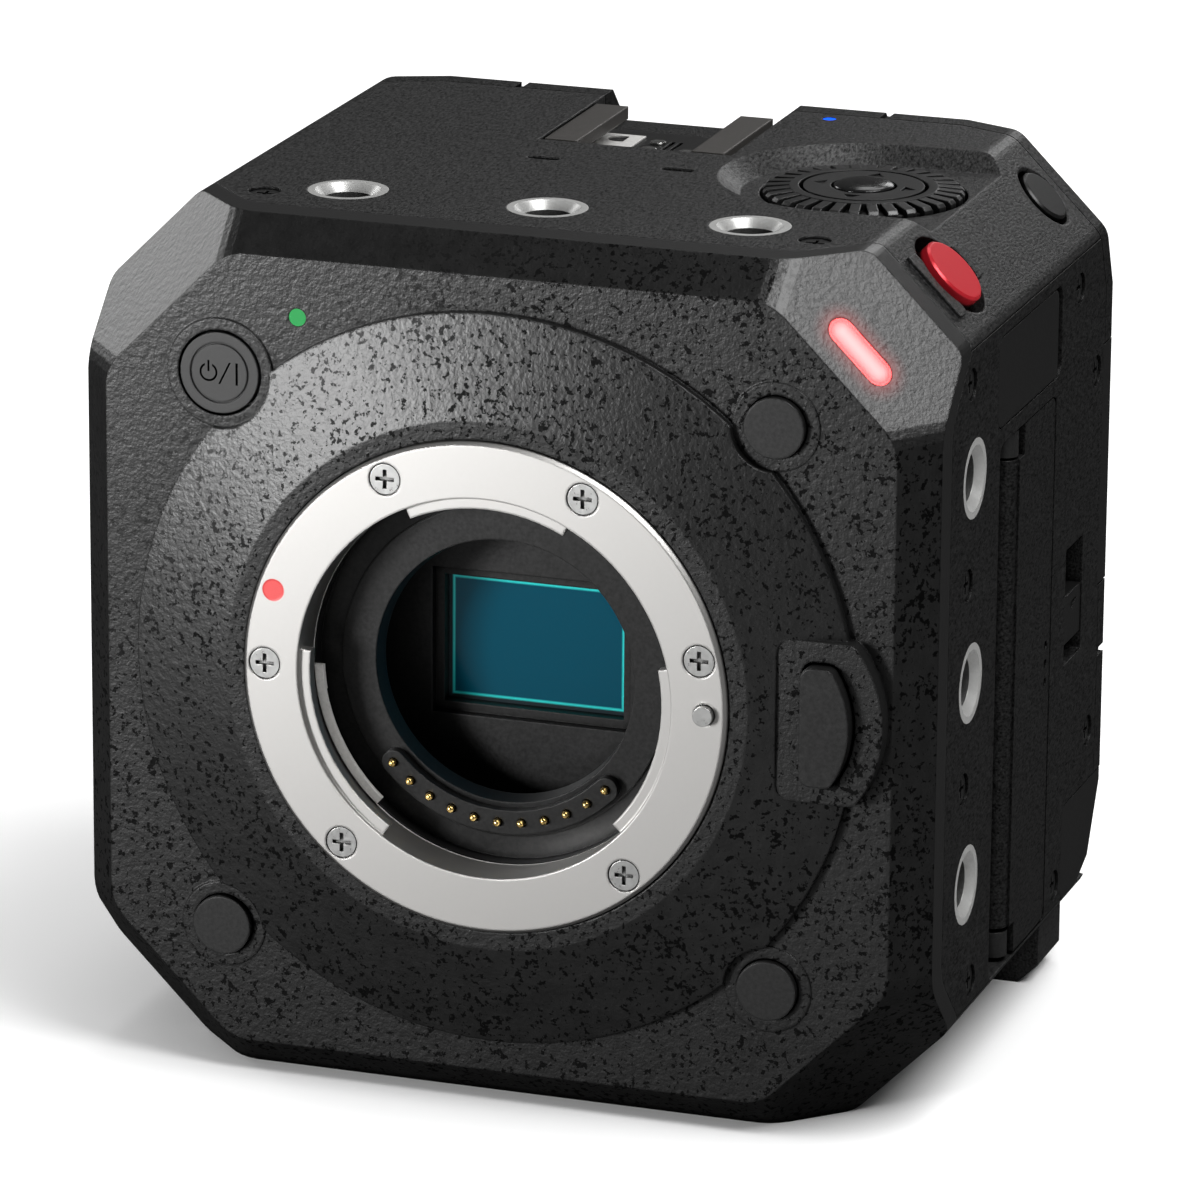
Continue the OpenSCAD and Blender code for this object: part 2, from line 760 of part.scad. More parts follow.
// Frame on an edge cut: +Z points straight out of the slanted face
module on_edge(side, y) {
  mirror([side < 0 ? 1 : 0, 0, 0]) translate([half_w - edge_cut / 2, y, half_h - edge_cut / 2])
    rotate([0, 45, 0]) children();
}

// Bore of radius r through an edge cut, wider behind the wall, with a rim chamfer
module edge_bore(r, rim = 0) {
  translate([0, 0, -2 * wall]) cylinder(r = r, h = 4 * wall);
  translate([0, 0, -edge_cut]) cylinder(r = r + edge_flange, h = edge_cut - wall);
  translate([0, 0, -rim]) cylinder(r1 = r, r2 = r + rim + fine, h = rim + fine);
}

module dish() {
  slope = (dish_r - dish_floor_r) / dish_d;
  top_r = dish_r + slope * over;
  translate([dial_x, dial_y, half_h - dish_d]) {
    cylinder(r1 = dish_floor_r, r2 = top_r, h = dish_d + over, $fn = 96);
    rotate([90, 0, 90]) linear_extrude(height = half_w) polygon([
      [-dish_floor_r, 0], [dish_floor_r, 0], [top_r, dish_d + over], [-top_r, dish_d + over]]);
  }
}

module top_cover() {
  well_r = dial_r + well_gap;
  floor_z = half_h - dish_d - dish_floor_t;
  color([0.17, 0.17, 0.17]) at_front() difference() {
    union() {
      intersection() {
        cover_tube();
        block([-body_w, 0, cover_split + seam / 2], [body_w, body_d, body_h]);
      }
      intersection() {
        union() {
          translate([dial_x, dial_y, floor_z]) cylinder(r = dish_r + wall, h = wall + dish_d);
          block([dial_x, dial_y - dish_r - wall, floor_z],
            [half_w, dial_y + dish_r + wall, half_h - fine]);
        }
        slab(0, body_d) outline(fine);
      }
      translate([dial_x, dial_y, floor_z - well_d]) cylinder(r = well_r + dish_floor_t, h = well_d + fine);
      block([-shoe_w / 2 - wall, shoe_front - wall, shoe_floor_z - shoe_base_t],
        [shoe_w / 2 + wall, body_d - rear_rim - seam, half_h - wall]);
      on_edge(1, rec_y) {
        block([-guard_l / 2, -guard_out, -fine], [guard_l / 2, guard_w - guard_out, guard_h]);
        block([-guard_rear_l / 2, guard_out - guard_w, -fine], [guard_rear_l / 2, guard_out, guard_h]);
      }
    }
    dish();
    translate([dial_x, dial_y, half_h - dish_d - well_d]) cylinder(r = well_r, h = body_h);
    translate([dial_x, dial_y, 0]) cylinder(r = dial_axle_r + axle_gap, h = body_h);
    block([-shoe_w / 2, shoe_front, shoe_floor_z], [shoe_w / 2, body_d + over, body_h]);
    for (s = [-1, 1]) translate([s * slot_x, slot_y, half_h - wall / 2]) {
      block([(slot_l - slot_w) / 2, -slot_l / 2, 0], [(slot_w - slot_l) / 2, slot_l / 2, wall]);
      for (k = [-1, 1]) translate([k * (slot_w - slot_l) / 2, 0, 0]) cylinder(r = slot_l / 2, h = wall);
    }
    translate([network_x, network_y, half_h - 2 * wall]) cylinder(r = network_r, h = 4 * wall);
    on_edge(1, rec_y) edge_bore(rec_hole_r);
    on_edge(1, cancel_y) edge_bore(cancel_hole_r, hole_rim);
    for (i = [-1, 0, 1]) on_edge(-1, left_button_y(i)) edge_bore(function_r + button_gap);
    insert_seats();
    screw_holes();
  }
}

module network_lamp() {
  color([0.1, 0.35, 0.95]) at_front() translate([network_x, network_y, half_h - wall])
    cylinder(r = network_r - lamp_gap, h = wall - lamp_sink);
}

/* Buttons in the edge cuts */
rec_proud = 0.85;
cancel_proud = 0.3;
function_proud = 0.2;
button_round = 0.25;

function left_button_y(i) = left_button_share * body_d + i * left_button_pitch;

module edge_button(r, proud, hole_r) {
  low = -wall - fine - edge_flange_t;
  flange_r = hole_r + edge_flange - button_gap;
  rotate_extrude() polygon([[0, low], [flange_r, low], [flange_r, low + edge_flange_t],
    [r, low + edge_flange_t], [r, proud - button_round], [r - button_round, proud], [0, proud]]);
}

module rec_button() {
  color([0.7, 0.06, 0.08]) at_front() on_edge(1, rec_y)
    edge_button(rec_r, rec_proud, rec_hole_r);
}

module cancel_button() {
  color([0.09, 0.09, 0.09]) at_front() on_edge(1, cancel_y)
    edge_button(cancel_r, cancel_proud, cancel_hole_r);
}

module left_button(i) {
  color([0.09, 0.09, 0.09]) at_front() on_edge(-1, left_button_y(i))
    edge_button(function_r, function_proud, function_r + button_gap);
}

module function_button() left_button(-1);
module quick_button() left_button(0);
module playback_button() left_button(1);

/* Control dial: a knurled ring, a rocking pad and a centre button on a fixed axle */
dial_top = 0.85;
dial_rim_drop = 0.25;
dial_base = 2.2;
dial_groove = 0.9;
dial_band = 1;
dial_float = 0.3;
axle_gap = 0.05;
axle_l = 3.5;
dial_inner_r = pad_r + dial_groove / 2;
tooth_share = 0.52;
tooth_h = 0.7;
pad_top = 0.85;
pad_t = 1.2;
pad_tilt_gap = 0.35;
pad_arrow = 0.95;
pad_arrow_r = 4.75;
arrow_depth = 0.2;
menu_dome = 0.65;
menu_travel = 0.5;
axle_plate_t = 0.3;

module at_dial() {
  at_front() translate([dial_x, dial_y, half_h]) children();
}

module control_dial() {
  low = -dish_d - well_d + dial_float;
  tooth_w = 2 * PI * dial_r / dial_teeth * tooth_share;
  color([0.08, 0.08, 0.08]) at_dial() {
    rotate_extrude($fn = 96) polygon([[dial_axle_r + axle_gap, low], [dial_r - tooth_h, low],
      [dial_r - tooth_h, -dial_top - dial_rim_drop - tooth_h], [dial_inner_r + dial_band, -dial_top - tooth_h],
      [dial_inner_r + dial_band, -dial_top], [dial_inner_r, -dial_top], [dial_inner_r, low + dial_base],
      [dial_axle_r + axle_gap, low + dial_base]]);
    intersection() {
      for (i = [0:dial_teeth - 1]) rotate([0, 0, 360 * i / dial_teeth])
        block([dial_inner_r + dial_band / 2, -tooth_w / 2, low + dial_base], [dial_r + over, tooth_w / 2, 0]);
      rotate_extrude($fn = 96) polygon([[dial_inner_r + dial_band / 2, low + dial_base], [dial_r, low + dial_base],
        [dial_r, -dial_top - dial_rim_drop - tooth_h / 2],
        [dial_r - tooth_h / 2, -dial_top - dial_rim_drop], [dial_inner_r + dial_band / 2, -dial_top]]);
    }
  }
}

module cursor_pad() {
  color([0.11, 0.11, 0.11]) at_dial() difference() {
    translate([0, 0, -pad_top - pad_t]) cylinder(r = pad_r, h = pad_t);
    translate([0, 0, -pad_top - pad_t - over]) cylinder(r = menu_r + button_gap, h = pad_t + 2 * over);
    for (a = [0, 90, 180, 270]) rotate([0, 0, a]) translate([pad_arrow_r, 0, -pad_top - arrow_depth])
      linear_extrude(height = over)
        polygon([[pad_arrow, 0], [-pad_arrow / 2, pad_arrow], [-pad_arrow / 2, -pad_arrow]]);
  }
}

module menu_button() {
  low = -pad_top - pad_t - pad_tilt_gap + menu_travel;
  color([0.13, 0.13, 0.13]) at_dial() rotate_extrude() polygon(concat([[0, low], [menu_r, low]],
    [for (a = [0:10:90]) [menu_r * cos(a), -pad_top + menu_dome * sin(a)]]));
}

module dial_axle() {
  top = -pad_top - pad_t - pad_tilt_gap;
  color([0.3, 0.3, 0.31]) at_dial() {
    translate([0, 0, -dish_d - well_d - axle_l]) cylinder(r = dial_axle_r, h = axle_l + dish_d + well_d + top);
    translate([0, 0, top - axle_plate_t]) cylinder(r = pad_r - fine, h = axle_plate_t);
  }
}

/* Accessory shoe */
shoe_x = -0.5;
rail_y0 = 45.5;
rail_y1 = 62.8;
rail_out = 0.7;
rail_w = shoe_w - 2 * rail_out;
rail_side = (rail_w - shoe_slot) / 2;
spring_plate_t = 0.25;
spring_plate_in = 5.1;
spring_plate_y = 58;
spring_hole_r = 1.35;
shoe_contact_r = 0.9;
shoe_contact_t = 0.25;
groove_x = -1.9;
groove_w = 0.45;
shoe_contact_shares = [[-0.144, 0.845], [-0.144, 0.893], [0.056, 0.845], [0.194, 0.845], [0.194, 0.893]];

module shoe_contact_places() {
  for (p = shoe_contact_shares) translate([p[0] * shoe_w, p[1] * body_d, shoe_floor_z]) children();
}

module shoe_base() {
  color([0.1, 0.1, 0.1]) at_front() difference() {
    block([-shoe_w / 2, shoe_front, shoe_floor_z],
      [shoe_w / 2, body_d - rear_rim - seam, shoe_floor_z + shoe_plate_t]);
    shoe_contact_places() translate([0, 0, -over]) cylinder(r = shoe_contact_r, h = 2 * over + shoe_plate_t);
    for (k = [0, 1]) block([groove_x + 2 * k * groove_w, spring_plate_y - fine, shoe_floor_z + shoe_plate_t / 2],
      [groove_x + (2 * k + 1) * groove_w, rail_y1, half_h]);
  }
}

module shoe_rails() {
  low = shoe_floor_z + shoe_plate_t;
  top = low + shoe_slot_h + rail_top_t;
  color([0.38, 0.36, 0.35]) at_front() translate([shoe_x, 0, 0]) for (m = [0, 1]) mirror([m, 0, 0]) {
    block([shoe_slot / 2, rail_y0, low], [rail_w / 2, rail_y1, top]);
    block([shoe_gap / 2, rail_y0, low + shoe_slot_h], [rail_w / 2, rail_y1, top]);
  }
}

module shoe_spring() {
  low = shoe_floor_z + shoe_plate_t;
  x0 = shoe_x - shoe_slot / 2 + fine;
  color([0.62, 0.61, 0.59]) at_front() difference() {
    block([x0, spring_plate_y, low], [-spring_plate_in, rail_y1 + rail_side, low + spring_plate_t]);
    translate([x0 + 1.6 * spring_hole_r, rail_y1 - spring_hole_r, low - over]) intersection() {
      cylinder(r = spring_hole_r, h = 3 * over);
      block([-2 * spring_hole_r, -spring_hole_r, 0], [spring_hole_r / 2, spring_hole_r, 3 * over]);
    }
  }
}

module shoe_contacts() {
  color([0.75, 0.74, 0.7]) at_front() shoe_contact_places()
    cylinder(r = shoe_contact_r - lamp_gap, h = shoe_plate_t + shoe_contact_t);
}

/* Right side: covers, card door and latch */
remote_y0 = 24.2;
remote_y1 = 47.2;
remote_pull = 1.4;
remote_top = 11.8;
remote_h = 10;
remote_z1 = half_h - remote_top;
remote_z0 = remote_z1 - remote_h;
remote_t = 1.3;
recess_r = 1.5;
door_gap = 0.15;
pocket_wall = 1;
strip_y = 25.3;
strip_d = 2.7;
door_y0 = 31.8;
door_low = 10.5;
door_z0 = door_low - half_h;
door_pocket = 6.2;
barrel_r = 1.5;
barrel_sink = 0.3;
hinge_pin_r = 0.5;
knuckle_h = 3.4;
door_sink = 0.05;
latch_y0 = 52.5;
latch_y1 = 59.3;
latch_z0 = -8.9;
latch_z1 = 4.1;
knob_z0 = -6.7;
knob_z1 = -1.3;
latch_travel = 2;
latch_t = 1.1;
latch_arrow = 1.1;
latch_arrow_w = 1.7;
dc_y = 53.4;
dc_low = 10.3;
dc_h = 11;
dc_z0 = dc_low - half_h;
dc_z1 = dc_z0 + dc_h;
dc_corner_y = 59.9;
dc_corner_slope_share = 0.4;
dc_t = 1.5;
flap_y = 66;
flap_z0 = -3.5;
flap_z1 = 23.6;
flap_t = 1.7;
flap_w = 20.5;
flap_x = half_w - flap_w;
flap_proud = 0.3;
speaker_r = 0.5;
speaker_y = 45.2;
speaker_z = -6.48;
speaker_pitch = 2.08;
remote_jack_y = 37.4;
remote_jack_z = 29.7;
dc_jack_y = 60.4;
dc_jack_up = 4.9;
dc_jack_z = dc_z0 + dc_jack_up;
jack_r = 2.6;
jack_bore = 1.3;
jack_l = 9;
jack_end = 1.2;
dc_jack_r = 3.8;
dc_bore = 2.8;
dc_pin_r = 0.8;
hinge_y = door_y0 + barrel_r;
hinge_x = half_w - barrel_r - barrel_sink;

// Rounded plate in Y and Z between x0 and x1
module plate_x(y0, y1, z0, z1, x0, x1, r) {
  translate([x0, 0, 0]) rotate([90, 0, 90]) linear_extrude(height = x1 - x0) polygon(concat(
    arc(y1 - r, z1 - r, r, 0, 90, 4), arc(y0 + r, z1 - r, r, 90, 180, 4),
    arc(y0 + r, z0 + r, r, 180, 270, 4), arc(y1 - r, z0 + r, r, 270, 360, 4)));
}

module rod_x(r, x0, x1, y, z) {
  translate([x0, y, z]) rotate([0, 90, 0]) cylinder(r = r, h = x1 - x0);
}

module speaker_holes() {
  for (i = [-1, 0, 1]) rod_x(speaker_r, half_w - 2 * wall, body_w, speaker_y, speaker_z + i * speaker_pitch);
}

module right_panel() {
  inside = half_w - wall;
  color([0.15, 0.15, 0.15]) at_front() difference() {
    union() {
      intersection() {
        cover_tube();
        block([0, 0, -cover_split + seam / 2], [body_w, body_d, cover_split - seam / 2]);
      }
      plate_x(strip_y - pocket_wall, door_y0 + door_w + pocket_wall, door_z0 + fine,
        door_z0 + door_h + pocket_wall, half_w - door_pocket - pocket_wall, inside, recess_r);
      plate_x(remote_y0 - pocket_wall, remote_y1 + remote_pull + pocket_wall, remote_z0 - pocket_wall,
        remote_z1 + pocket_wall, inside - pocket_wall, inside, recess_r);
      plate_x(dc_y - pocket_wall, body_d - rear_rim - seam, -cover_split + wall, dc_z1 + pocket_wall,
        inside - pocket_wall, inside, recess_r);
    }
    plate_x(remote_y0, remote_y1 + remote_pull, remote_z0, remote_z1, half_w - remote_t - door_gap, body_w,
      recess_r);
    plate_x(strip_y, door_y0 + door_w, door_z0, door_z0 + door_h, half_w - strip_d, body_w, recess_r);
    plate_x(door_y0 - door_gap, door_y0 + door_w, door_z0 + fine, door_z0 + door_h - fine,
      half_w - door_pocket, body_w, fine);
    plate_x(dc_y, body_d + edge_cut, dc_z0, dc_z1, half_w - dc_t - door_gap, body_w, recess_r);
    plate_x(latch_y0, latch_y1, latch_z0, latch_z1, 0, body_w, fine);
    rod_x(jack_r + lamp_gap, 0, body_w, remote_jack_y, remote_jack_z);
    rod_x(dc_jack_r + lamp_gap, 0, body_w, dc_jack_y, dc_jack_z);
    block([half_w - flap_t - door_gap, flap_y - door_gap, flap_z0 - door_gap],
      [body_w, body_d, flap_z1 + door_gap]);
    card_seats();
    rear_corners(rear_rim + seam);
    insert_seats();
    screw_holes();
  }
}

module remote_cover() {
  color([0.09, 0.09, 0.09]) at_front() plate_x(remote_y0 + door_gap, remote_y1, remote_z0 + door_gap,
    remote_z1 - door_gap, half_w - remote_t, half_w - door_sink, recess_r - door_gap);
}

module dc_cover() {
  x0 = half_w - dc_t;
  color([0.09, 0.09, 0.09]) at_front() difference() {
    plate_x(dc_y + door_gap, body_d + edge_cut, dc_z0 + door_gap, dc_z1 - door_gap, x0,
      half_w - door_sink, recess_r - door_gap);
    block([0, body_d - door_sink, -body_h], [body_w, 2 * body_d, body_h]);
    rear_corners(door_sink);
    beyond(unit([0, dc_corner_slope_share, -1]), [0, dc_corner_y, dc_z0]);
  }
}

module jack(r, bore, l) {
  difference() {
    cylinder(r = r, h = l);
    translate([0, 0, jack_end]) cylinder(r = bore, h = l);
  }
}

module remote_jack() {
  color([0.1, 0.1, 0.1]) at_front()
    translate([half_w - remote_t - 2 * door_gap - jack_l, remote_jack_y, remote_jack_z])
      rotate([0, 90, 0]) jack(jack_r, jack_bore, jack_l);
}

module dc_jack() {
  color([0.1, 0.1, 0.1]) at_front()
    translate([half_w - dc_t - 2 * door_gap - jack_l, dc_jack_y, dc_jack_z]) rotate([0, 90, 0]) {
      jack(dc_jack_r, dc_bore, jack_l);
      translate([0, 0, jack_end / 2]) cylinder(r = dc_pin_r, h = jack_l - jack_end);
    }
}

module card_door() {
  z0 = door_z0 + 2 * door_gap;
  z1 = door_z0 + door_h - door_gap;
  x0 = half_w - door_sink - door_t;
  color([0.14, 0.14, 0.14]) at_front() difference() {
    union() {
      plate_x(hinge_y, door_y0 + door_w - door_gap, z0, z1, x0, half_w - door_sink, recess_r - door_gap);
      block([x0, hinge_y, z0 + knuckle_h], [half_w - door_sink, hinge_y + barrel_r, z1 - knuckle_h]);
      translate([hinge_x, hinge_y, z0 + knuckle_h]) cylinder(r = barrel_r, h = z1 - z0 - 2 * knuckle_h);
    }
    for (z = [z0 - over, z1 - knuckle_h])
      block([0, 0, z], [body_w, hinge_y + barrel_r + fine, z + knuckle_h + over]);
    translate([hinge_x, hinge_y, -body_h]) cylinder(r = hinge_pin_r + axle_gap, h = 2 * body_h);
    speaker_holes();
  }
}

module card_hinge_pin() {
  z0 = door_z0 + fine + door_gap;
  z1 = door_z0 + door_h - 2 * door_gap;
  h = knuckle_h - 2 * fine;
  color([0.3, 0.3, 0.3]) at_front() {
    translate([hinge_x, hinge_y, z0]) cylinder(r = hinge_pin_r, h = z1 - z0);
    for (z = [z0, z1 - h - door_gap]) {
      translate([hinge_x, hinge_y, z]) cylinder(r = barrel_r, h = h);
      block([half_w - door_pocket, hinge_y - barrel_r, z], [hinge_x, hinge_y + barrel_r, z + h]);
    }
  }
}

/* Two card slots behind the door */
card_case_y0 = 35.2;
card_case_y1 = 44.4;
card_case_h = 26;
card_case_l = 25;
card_gap = 2.4;
card_w = 24.3;
card_z = door_z0 + door_h / 2;
card_pitch = 27.4;

module card_seats() {
  for (k = [-1, 1]) block([0, card_case_y0 - seam, card_z + k * card_pitch / 2 - card_case_h / 2 - seam],
    [half_w - door_pocket + over, card_case_y1 + seam, card_z + k * card_pitch / 2 + card_case_h / 2 + seam]);
}

module card_slots() {
  x1 = half_w - door_pocket - fine / 2;
  mid = (card_case_y0 + card_case_y1) / 2;
  color([0.55, 0.55, 0.54]) at_front() for (k = [-1, 1]) translate([0, 0, card_z + k * card_pitch / 2])
    difference() {
      block([x1 - card_case_l, card_case_y0, -card_case_h / 2], [x1, card_case_y1, card_case_h / 2]);
      block([x1 - card_case_l + jack_end, mid - card_gap / 2, -card_w / 2],
        [x1 + over, mid + card_gap / 2, card_w / 2]);
    }
}

module door_latch() {
  back = half_w - wall - door_sink;
  face = half_w - 2 * door_sink;
  mid = (latch_y0 + latch_y1) / 2;
  color([0.1, 0.1, 0.1]) at_front() difference() {
    union() {
      block([back - latch_t, latch_y0 - pocket_wall, latch_z0 - pocket_wall],
        [back, latch_y1 + pocket_wall, latch_z1 + latch_travel + pocket_wall]);
      block([back - latch_t, latch_y0 + door_gap, knob_z0], [face, latch_y1 - door_gap, knob_z1]);
    }
    translate([face - arrow_depth, mid, knob_z1 - latch_arrow]) rotate([90, 0, 90])
      linear_extrude(height = over)
        polygon([[-latch_arrow_w, 0], [0, -latch_arrow], [latch_arrow_w, 0]]);
  }
}

/* Left panel with the air outlet of the fan */
vent_count = 8;
vent_pitch = 3.6;
vent_w = 2;
vent_h = 26;
vent_y = 30;

module left_panel() {
  color([0.15, 0.15, 0.15]) at_front() difference() {
    intersection() {
      cover_tube();
      block([-body_w, 0, -cover_split + seam / 2], [0, body_d, cover_split - seam / 2]);
    }
    for (i = [0:vent_count - 1]) block([-body_w, vent_y + i * vent_pitch, -vent_h / 2],
      [-half_w + 2 * wall, vent_y + i * vent_pitch + vent_w, vent_h / 2]);
    insert_seats();
    screw_holes();
  }
}

/* Bottom cover with two feet that square off the rear corners */
foot_in = 2.7;
foot_x = half_w - foot_in;
foot_cut = 2.2;
foot_y = 55;
foot_end = 63.8;

module foot_outline() {
  polygon([[half_w - edge_cut - foot_cut, -half_h], [foot_x - foot_cut, -half_h],
    [foot_x, -half_h + foot_cut], [foot_x, foot_x - sum_max], [half_w - edge_cut - foot_cut, -half_h + wall]]);
}

module bottom_cover() {
  color([0.15, 0.15, 0.15]) at_front() difference() {
    union() {
      intersection() {
        cover_tube();
        block([-body_w, 0, -body_h], [body_w, body_d, -cover_split - seam / 2]);
      }
      for (m = [0, 1]) mirror([m, 0, 0]) slab(foot_y, foot_end) foot_outline();
      translate([0, insert_y + insert_pitch, -half_h + wall / 2]) cylinder(r = insert_r + wall, h = insert_l - wall);
    }
    insert_seats();
    screw_holes();
  }
}

/* Rear cover: rim, battery housing, connector recess and sockets */
bay_z = -6;
bay_wall = 1.5;
recess_side = 2.5;
recess_w = 19;
recess_x0 = recess_side - half_w;
recess_x1 = recess_x0 + recess_w;
recess_z0 = -30;
recess_z1 = 34;
recess_y = 62;
coax_x = recess_x0 + recess_w / 2;
coax_z = 3;
coax_pitch = 21;
coax_l = 11.5;
coax_bore = 4.05;
coax_lug_r = 0.9;
coax_flange_r = 6.6;
coax_flange_t = 1.2;
coax_pin_r = 0.9;
coax_core_r = 2.4;
port_side = 11.9;
port_x = half_w - port_side;
lan_z = 13.8;
lan_w = 15.4;
lan_h = 13;
lan_l = 14;
lan_open_w = 11.9;
lan_open_h = 8.4;
lan_key_w = 6;
lan_key_h = 2.2;
port_sink = 0.15;
hdmi_z = 1.4;
hdmi_w = 15;
hdmi_h = 5.8;
hdmi_wall = 0.5;
usb_z = -10;
usb_w = 9.4;
usb_h = 3.7;
usb_wall = 0.45;
audio_z0 = -17.4;
audio_pitch = 6.8;
audio_r = 2.9;
audio_bore = 1.75;
port_l = 12;
port_gap = 0.06;
rear_notch_x = 21;
rear_notch_w = 0.9;
rear_notch_d = 0.5;
side_notch_z = -11.9;
latch_slot_z = -41;
latch_slot_w = 16;
latch_slot_h = 4;
release_w = 9;
release_slide = 4;

// Raised middle of the rear with a slanted upper end
module rear_housing() {
  low = bay_z - bay_h / 2 - bay_wall;
  high = bay_z + bay_h / 2 + bay_wall;
  difference() {
    translate([-rear_notch_x, 0, 0]) rotate([90, 0, 90]) linear_extrude(height = 2 * rear_notch_x) polygon([
      [body_d - rear_rim, low], [rear_y, low], [rear_y, half_h - housing_proud], [body_d, half_h],
      [body_d - rear_rim, half_h]]);
    block([wall - rear_notch_x, body_d - rear_rim - over, high + wall],
      [rear_notch_x - wall, rear_y - wall, half_h - housing_proud - 2 * wall]);
  }
}

module rear_shell() {
  difference() {
    slab(body_d / 2, body_d) outline();
    rear_corners(0);
    difference() {
      slab(0, body_d - rear_rim) outline(-edge_cut);
      rear_corners(rear_rim);
    }
    for (m = [0, 1]) mirror([m, 0, 0]) slab(foot_y, foot_end + seam) foot_outline();
  }
}

module rear_cover() {
  port_back = body_d - flap_t + flap_proud;
  color([0.14, 0.14, 0.14]) at_front() difference() {
    union() {
      rear_shell();
      rear_housing();
      block([-bay_w / 2 - bay_wall, rear_y - bay_d - bay_wall, bay_z - bay_h / 2 - bay_wall],
        [bay_w / 2 + bay_wall, rear_y, bay_z + bay_h / 2 + bay_wall]);
      block([recess_x0 - fine, recess_y - bay_wall, recess_z0 - bay_wall],
        [recess_x1 + bay_wall, body_d - rear_rim / 2, recess_z1 + bay_wall]);
    }
    block([-bay_w / 2, rear_y - bay_d, bay_z - bay_h / 2], [bay_w / 2, rear_y + over, bay_z + bay_h / 2]);
    block([recess_x0, recess_y, recess_z0], [recess_x1, body_d + over, recess_z1]);
    block([-shoe_w / 2, body_d / 2, shoe_floor_z], [shoe_w / 2, rear_y + over, body_h]);
    block([half_w - rear_notch_d, body_d - rear_rim, side_notch_z], [body_w, rear_y, side_notch_z + rear_notch_w]);
    for (s = [-1, 1]) block([s * rear_notch_x - rear_notch_w / 2, body_d - rear_rim, half_h - rear_notch_d],
      [s * rear_notch_x + rear_notch_w / 2, body_d + over, body_h]);
    block([flap_x - door_gap, port_back - door_gap, flap_z0 - door_gap], [body_w, rear_y, flap_z1 + door_gap]);
    block([half_w - flap_t - door_gap, 0, flap_z0 - door_gap], [body_w, rear_y, flap_z1 + door_gap]);
    block([half_w - dc_t - door_gap, 0, dc_z0], [body_w, rear_y, dc_z1]);
    slab(body_d / 2, rear_y) {
      translate([port_x, lan_z]) square([lan_w + 2 * port_gap, lan_h + 2 * port_gap], center = true);
      translate([port_x, hdmi_z]) square([hdmi_w + 2 * port_gap, hdmi_h + 2 * port_gap], center = true);
      translate([port_x, usb_z]) square([usb_w + 2 * port_gap, usb_h + 2 * port_gap], center = true);
    }
    for (i = [0, 1]) rod_y(audio_r + port_gap, body_d / 2, rear_y, port_x, audio_z0 - i * audio_pitch);
    for (i = [-1, 0, 1]) rod_y(coax_r - fine, body_d / 2, body_d, coax_x, coax_z + i * coax_pitch);
    slab(body_d / 2, rear_y) translate([0, latch_slot_z]) square([latch_slot_w, latch_slot_h], center = true);
  }
}

module battery_contacts() {
  y0 = rear_y - bay_d;
  z0 = bay_z - bay_h / 2 + fine;
  color([0.78, 0.66, 0.38]) at_front() {
    block([-contact_row / 2, y0, z0], [contact_row / 2, y0 + contact_d, z0 + contact_h]);
    for (i = [-1.5, -0.5, 0.5, 1.5])
      block([i * blade_pitch - blade_w / 2, y0 + contact_d, z0 + blade_w],
        [i * blade_pitch + blade_w / 2, y0 + contact_d + blade_l, z0 + contact_h - blade_w]);
  }
}

contact_row = 24;
contact_d = 2.5;
contact_h = 7;
blade_pitch = 5;
blade_w = 0.8;
blade_l = 4.5;
release_back = 1;
release_knob = 1.6;

module battery_latch() {
  back = body_d - rear_rim - door_sink;
  color([0.09, 0.09, 0.09]) at_front() {
    slab(back - release_back, back) translate([0, latch_slot_z])
      square([latch_slot_w + 2 * release_slide, latch_slot_h + 2 * fine], center = true);
    slab(back - release_back, body_d + release_knob) translate([-release_slide / 2, latch_slot_z])
      square([release_w, latch_slot_h - 2 * door_gap], center = true);
  }
}

module port_cover() {
  back = body_d + flap_proud;
  color([0.06, 0.06, 0.06]) at_front() {
    block([flap_x, back - flap_t, flap_z0], [half_w - door_sink, back, flap_z1]);
    block([half_w - flap_t, flap_y, flap_z0], [half_w - door_sink, back, flap_z1]);
  }
}

module lan_jack() {
  y1 = body_d + flap_proud - flap_t - port_sink;
  color([0.7, 0.7, 0.68]) at_front() translate([port_x, 0, lan_z]) difference() {
    slab(y1 - lan_l, y1) square([lan_w, lan_h], center = true);
    slab(y1 - lan_l + jack_end, y1 + over) {
      square([lan_open_w, lan_open_h], center = true);
      translate([-lan_key_w / 2, -lan_open_h / 2 - lan_key_h + fine]) square([lan_key_w, lan_key_h]);
    }
  }
}

module hdmi_jack() {
  y1 = body_d + flap_proud - flap_t - port_sink;
  color([0.7, 0.7, 0.68]) at_front() translate([port_x, 0, hdmi_z]) {
    difference() {
      slab(y1 - port_l, y1) square([hdmi_w, hdmi_h], center = true);
      slab(y1 - port_l + jack_end, y1 + over)
        square([hdmi_w - 2 * hdmi_wall, hdmi_h - 2 * hdmi_wall], center = true);
    }
    slab(y1 - port_l + jack_end / 2, y1 - jack_end) square([hdmi_w * 0.75, hdmi_h * 0.25], center = true);
  }
}

module usb_jack() {
  y1 = body_d - port_sink;
  color([0.7, 0.7, 0.68]) at_front() translate([port_x, 0, usb_z]) {
    difference() {
      slab(y1 - port_l, y1) square([usb_w, usb_h], center = true);
      slab(y1 - port_l + jack_end, y1 + over)
        square([usb_w - 2 * usb_wall, usb_h - 2 * usb_wall], center = true);
    }
    slab(y1 - port_l + jack_end / 2, y1 - jack_end) square([usb_w * 0.7, usb_h * 0.2], center = true);
  }
}

module audio_jacks() {
  y1 = body_d - port_sink;
  color([0.12, 0.12, 0.12]) at_front() for (i = [0, 1])
    translate([port_x, y1 - port_l, audio_z0 - i * audio_pitch]) rotate([-90, 0, 0])
      jack(audio_r, audio_bore, port_l);
}

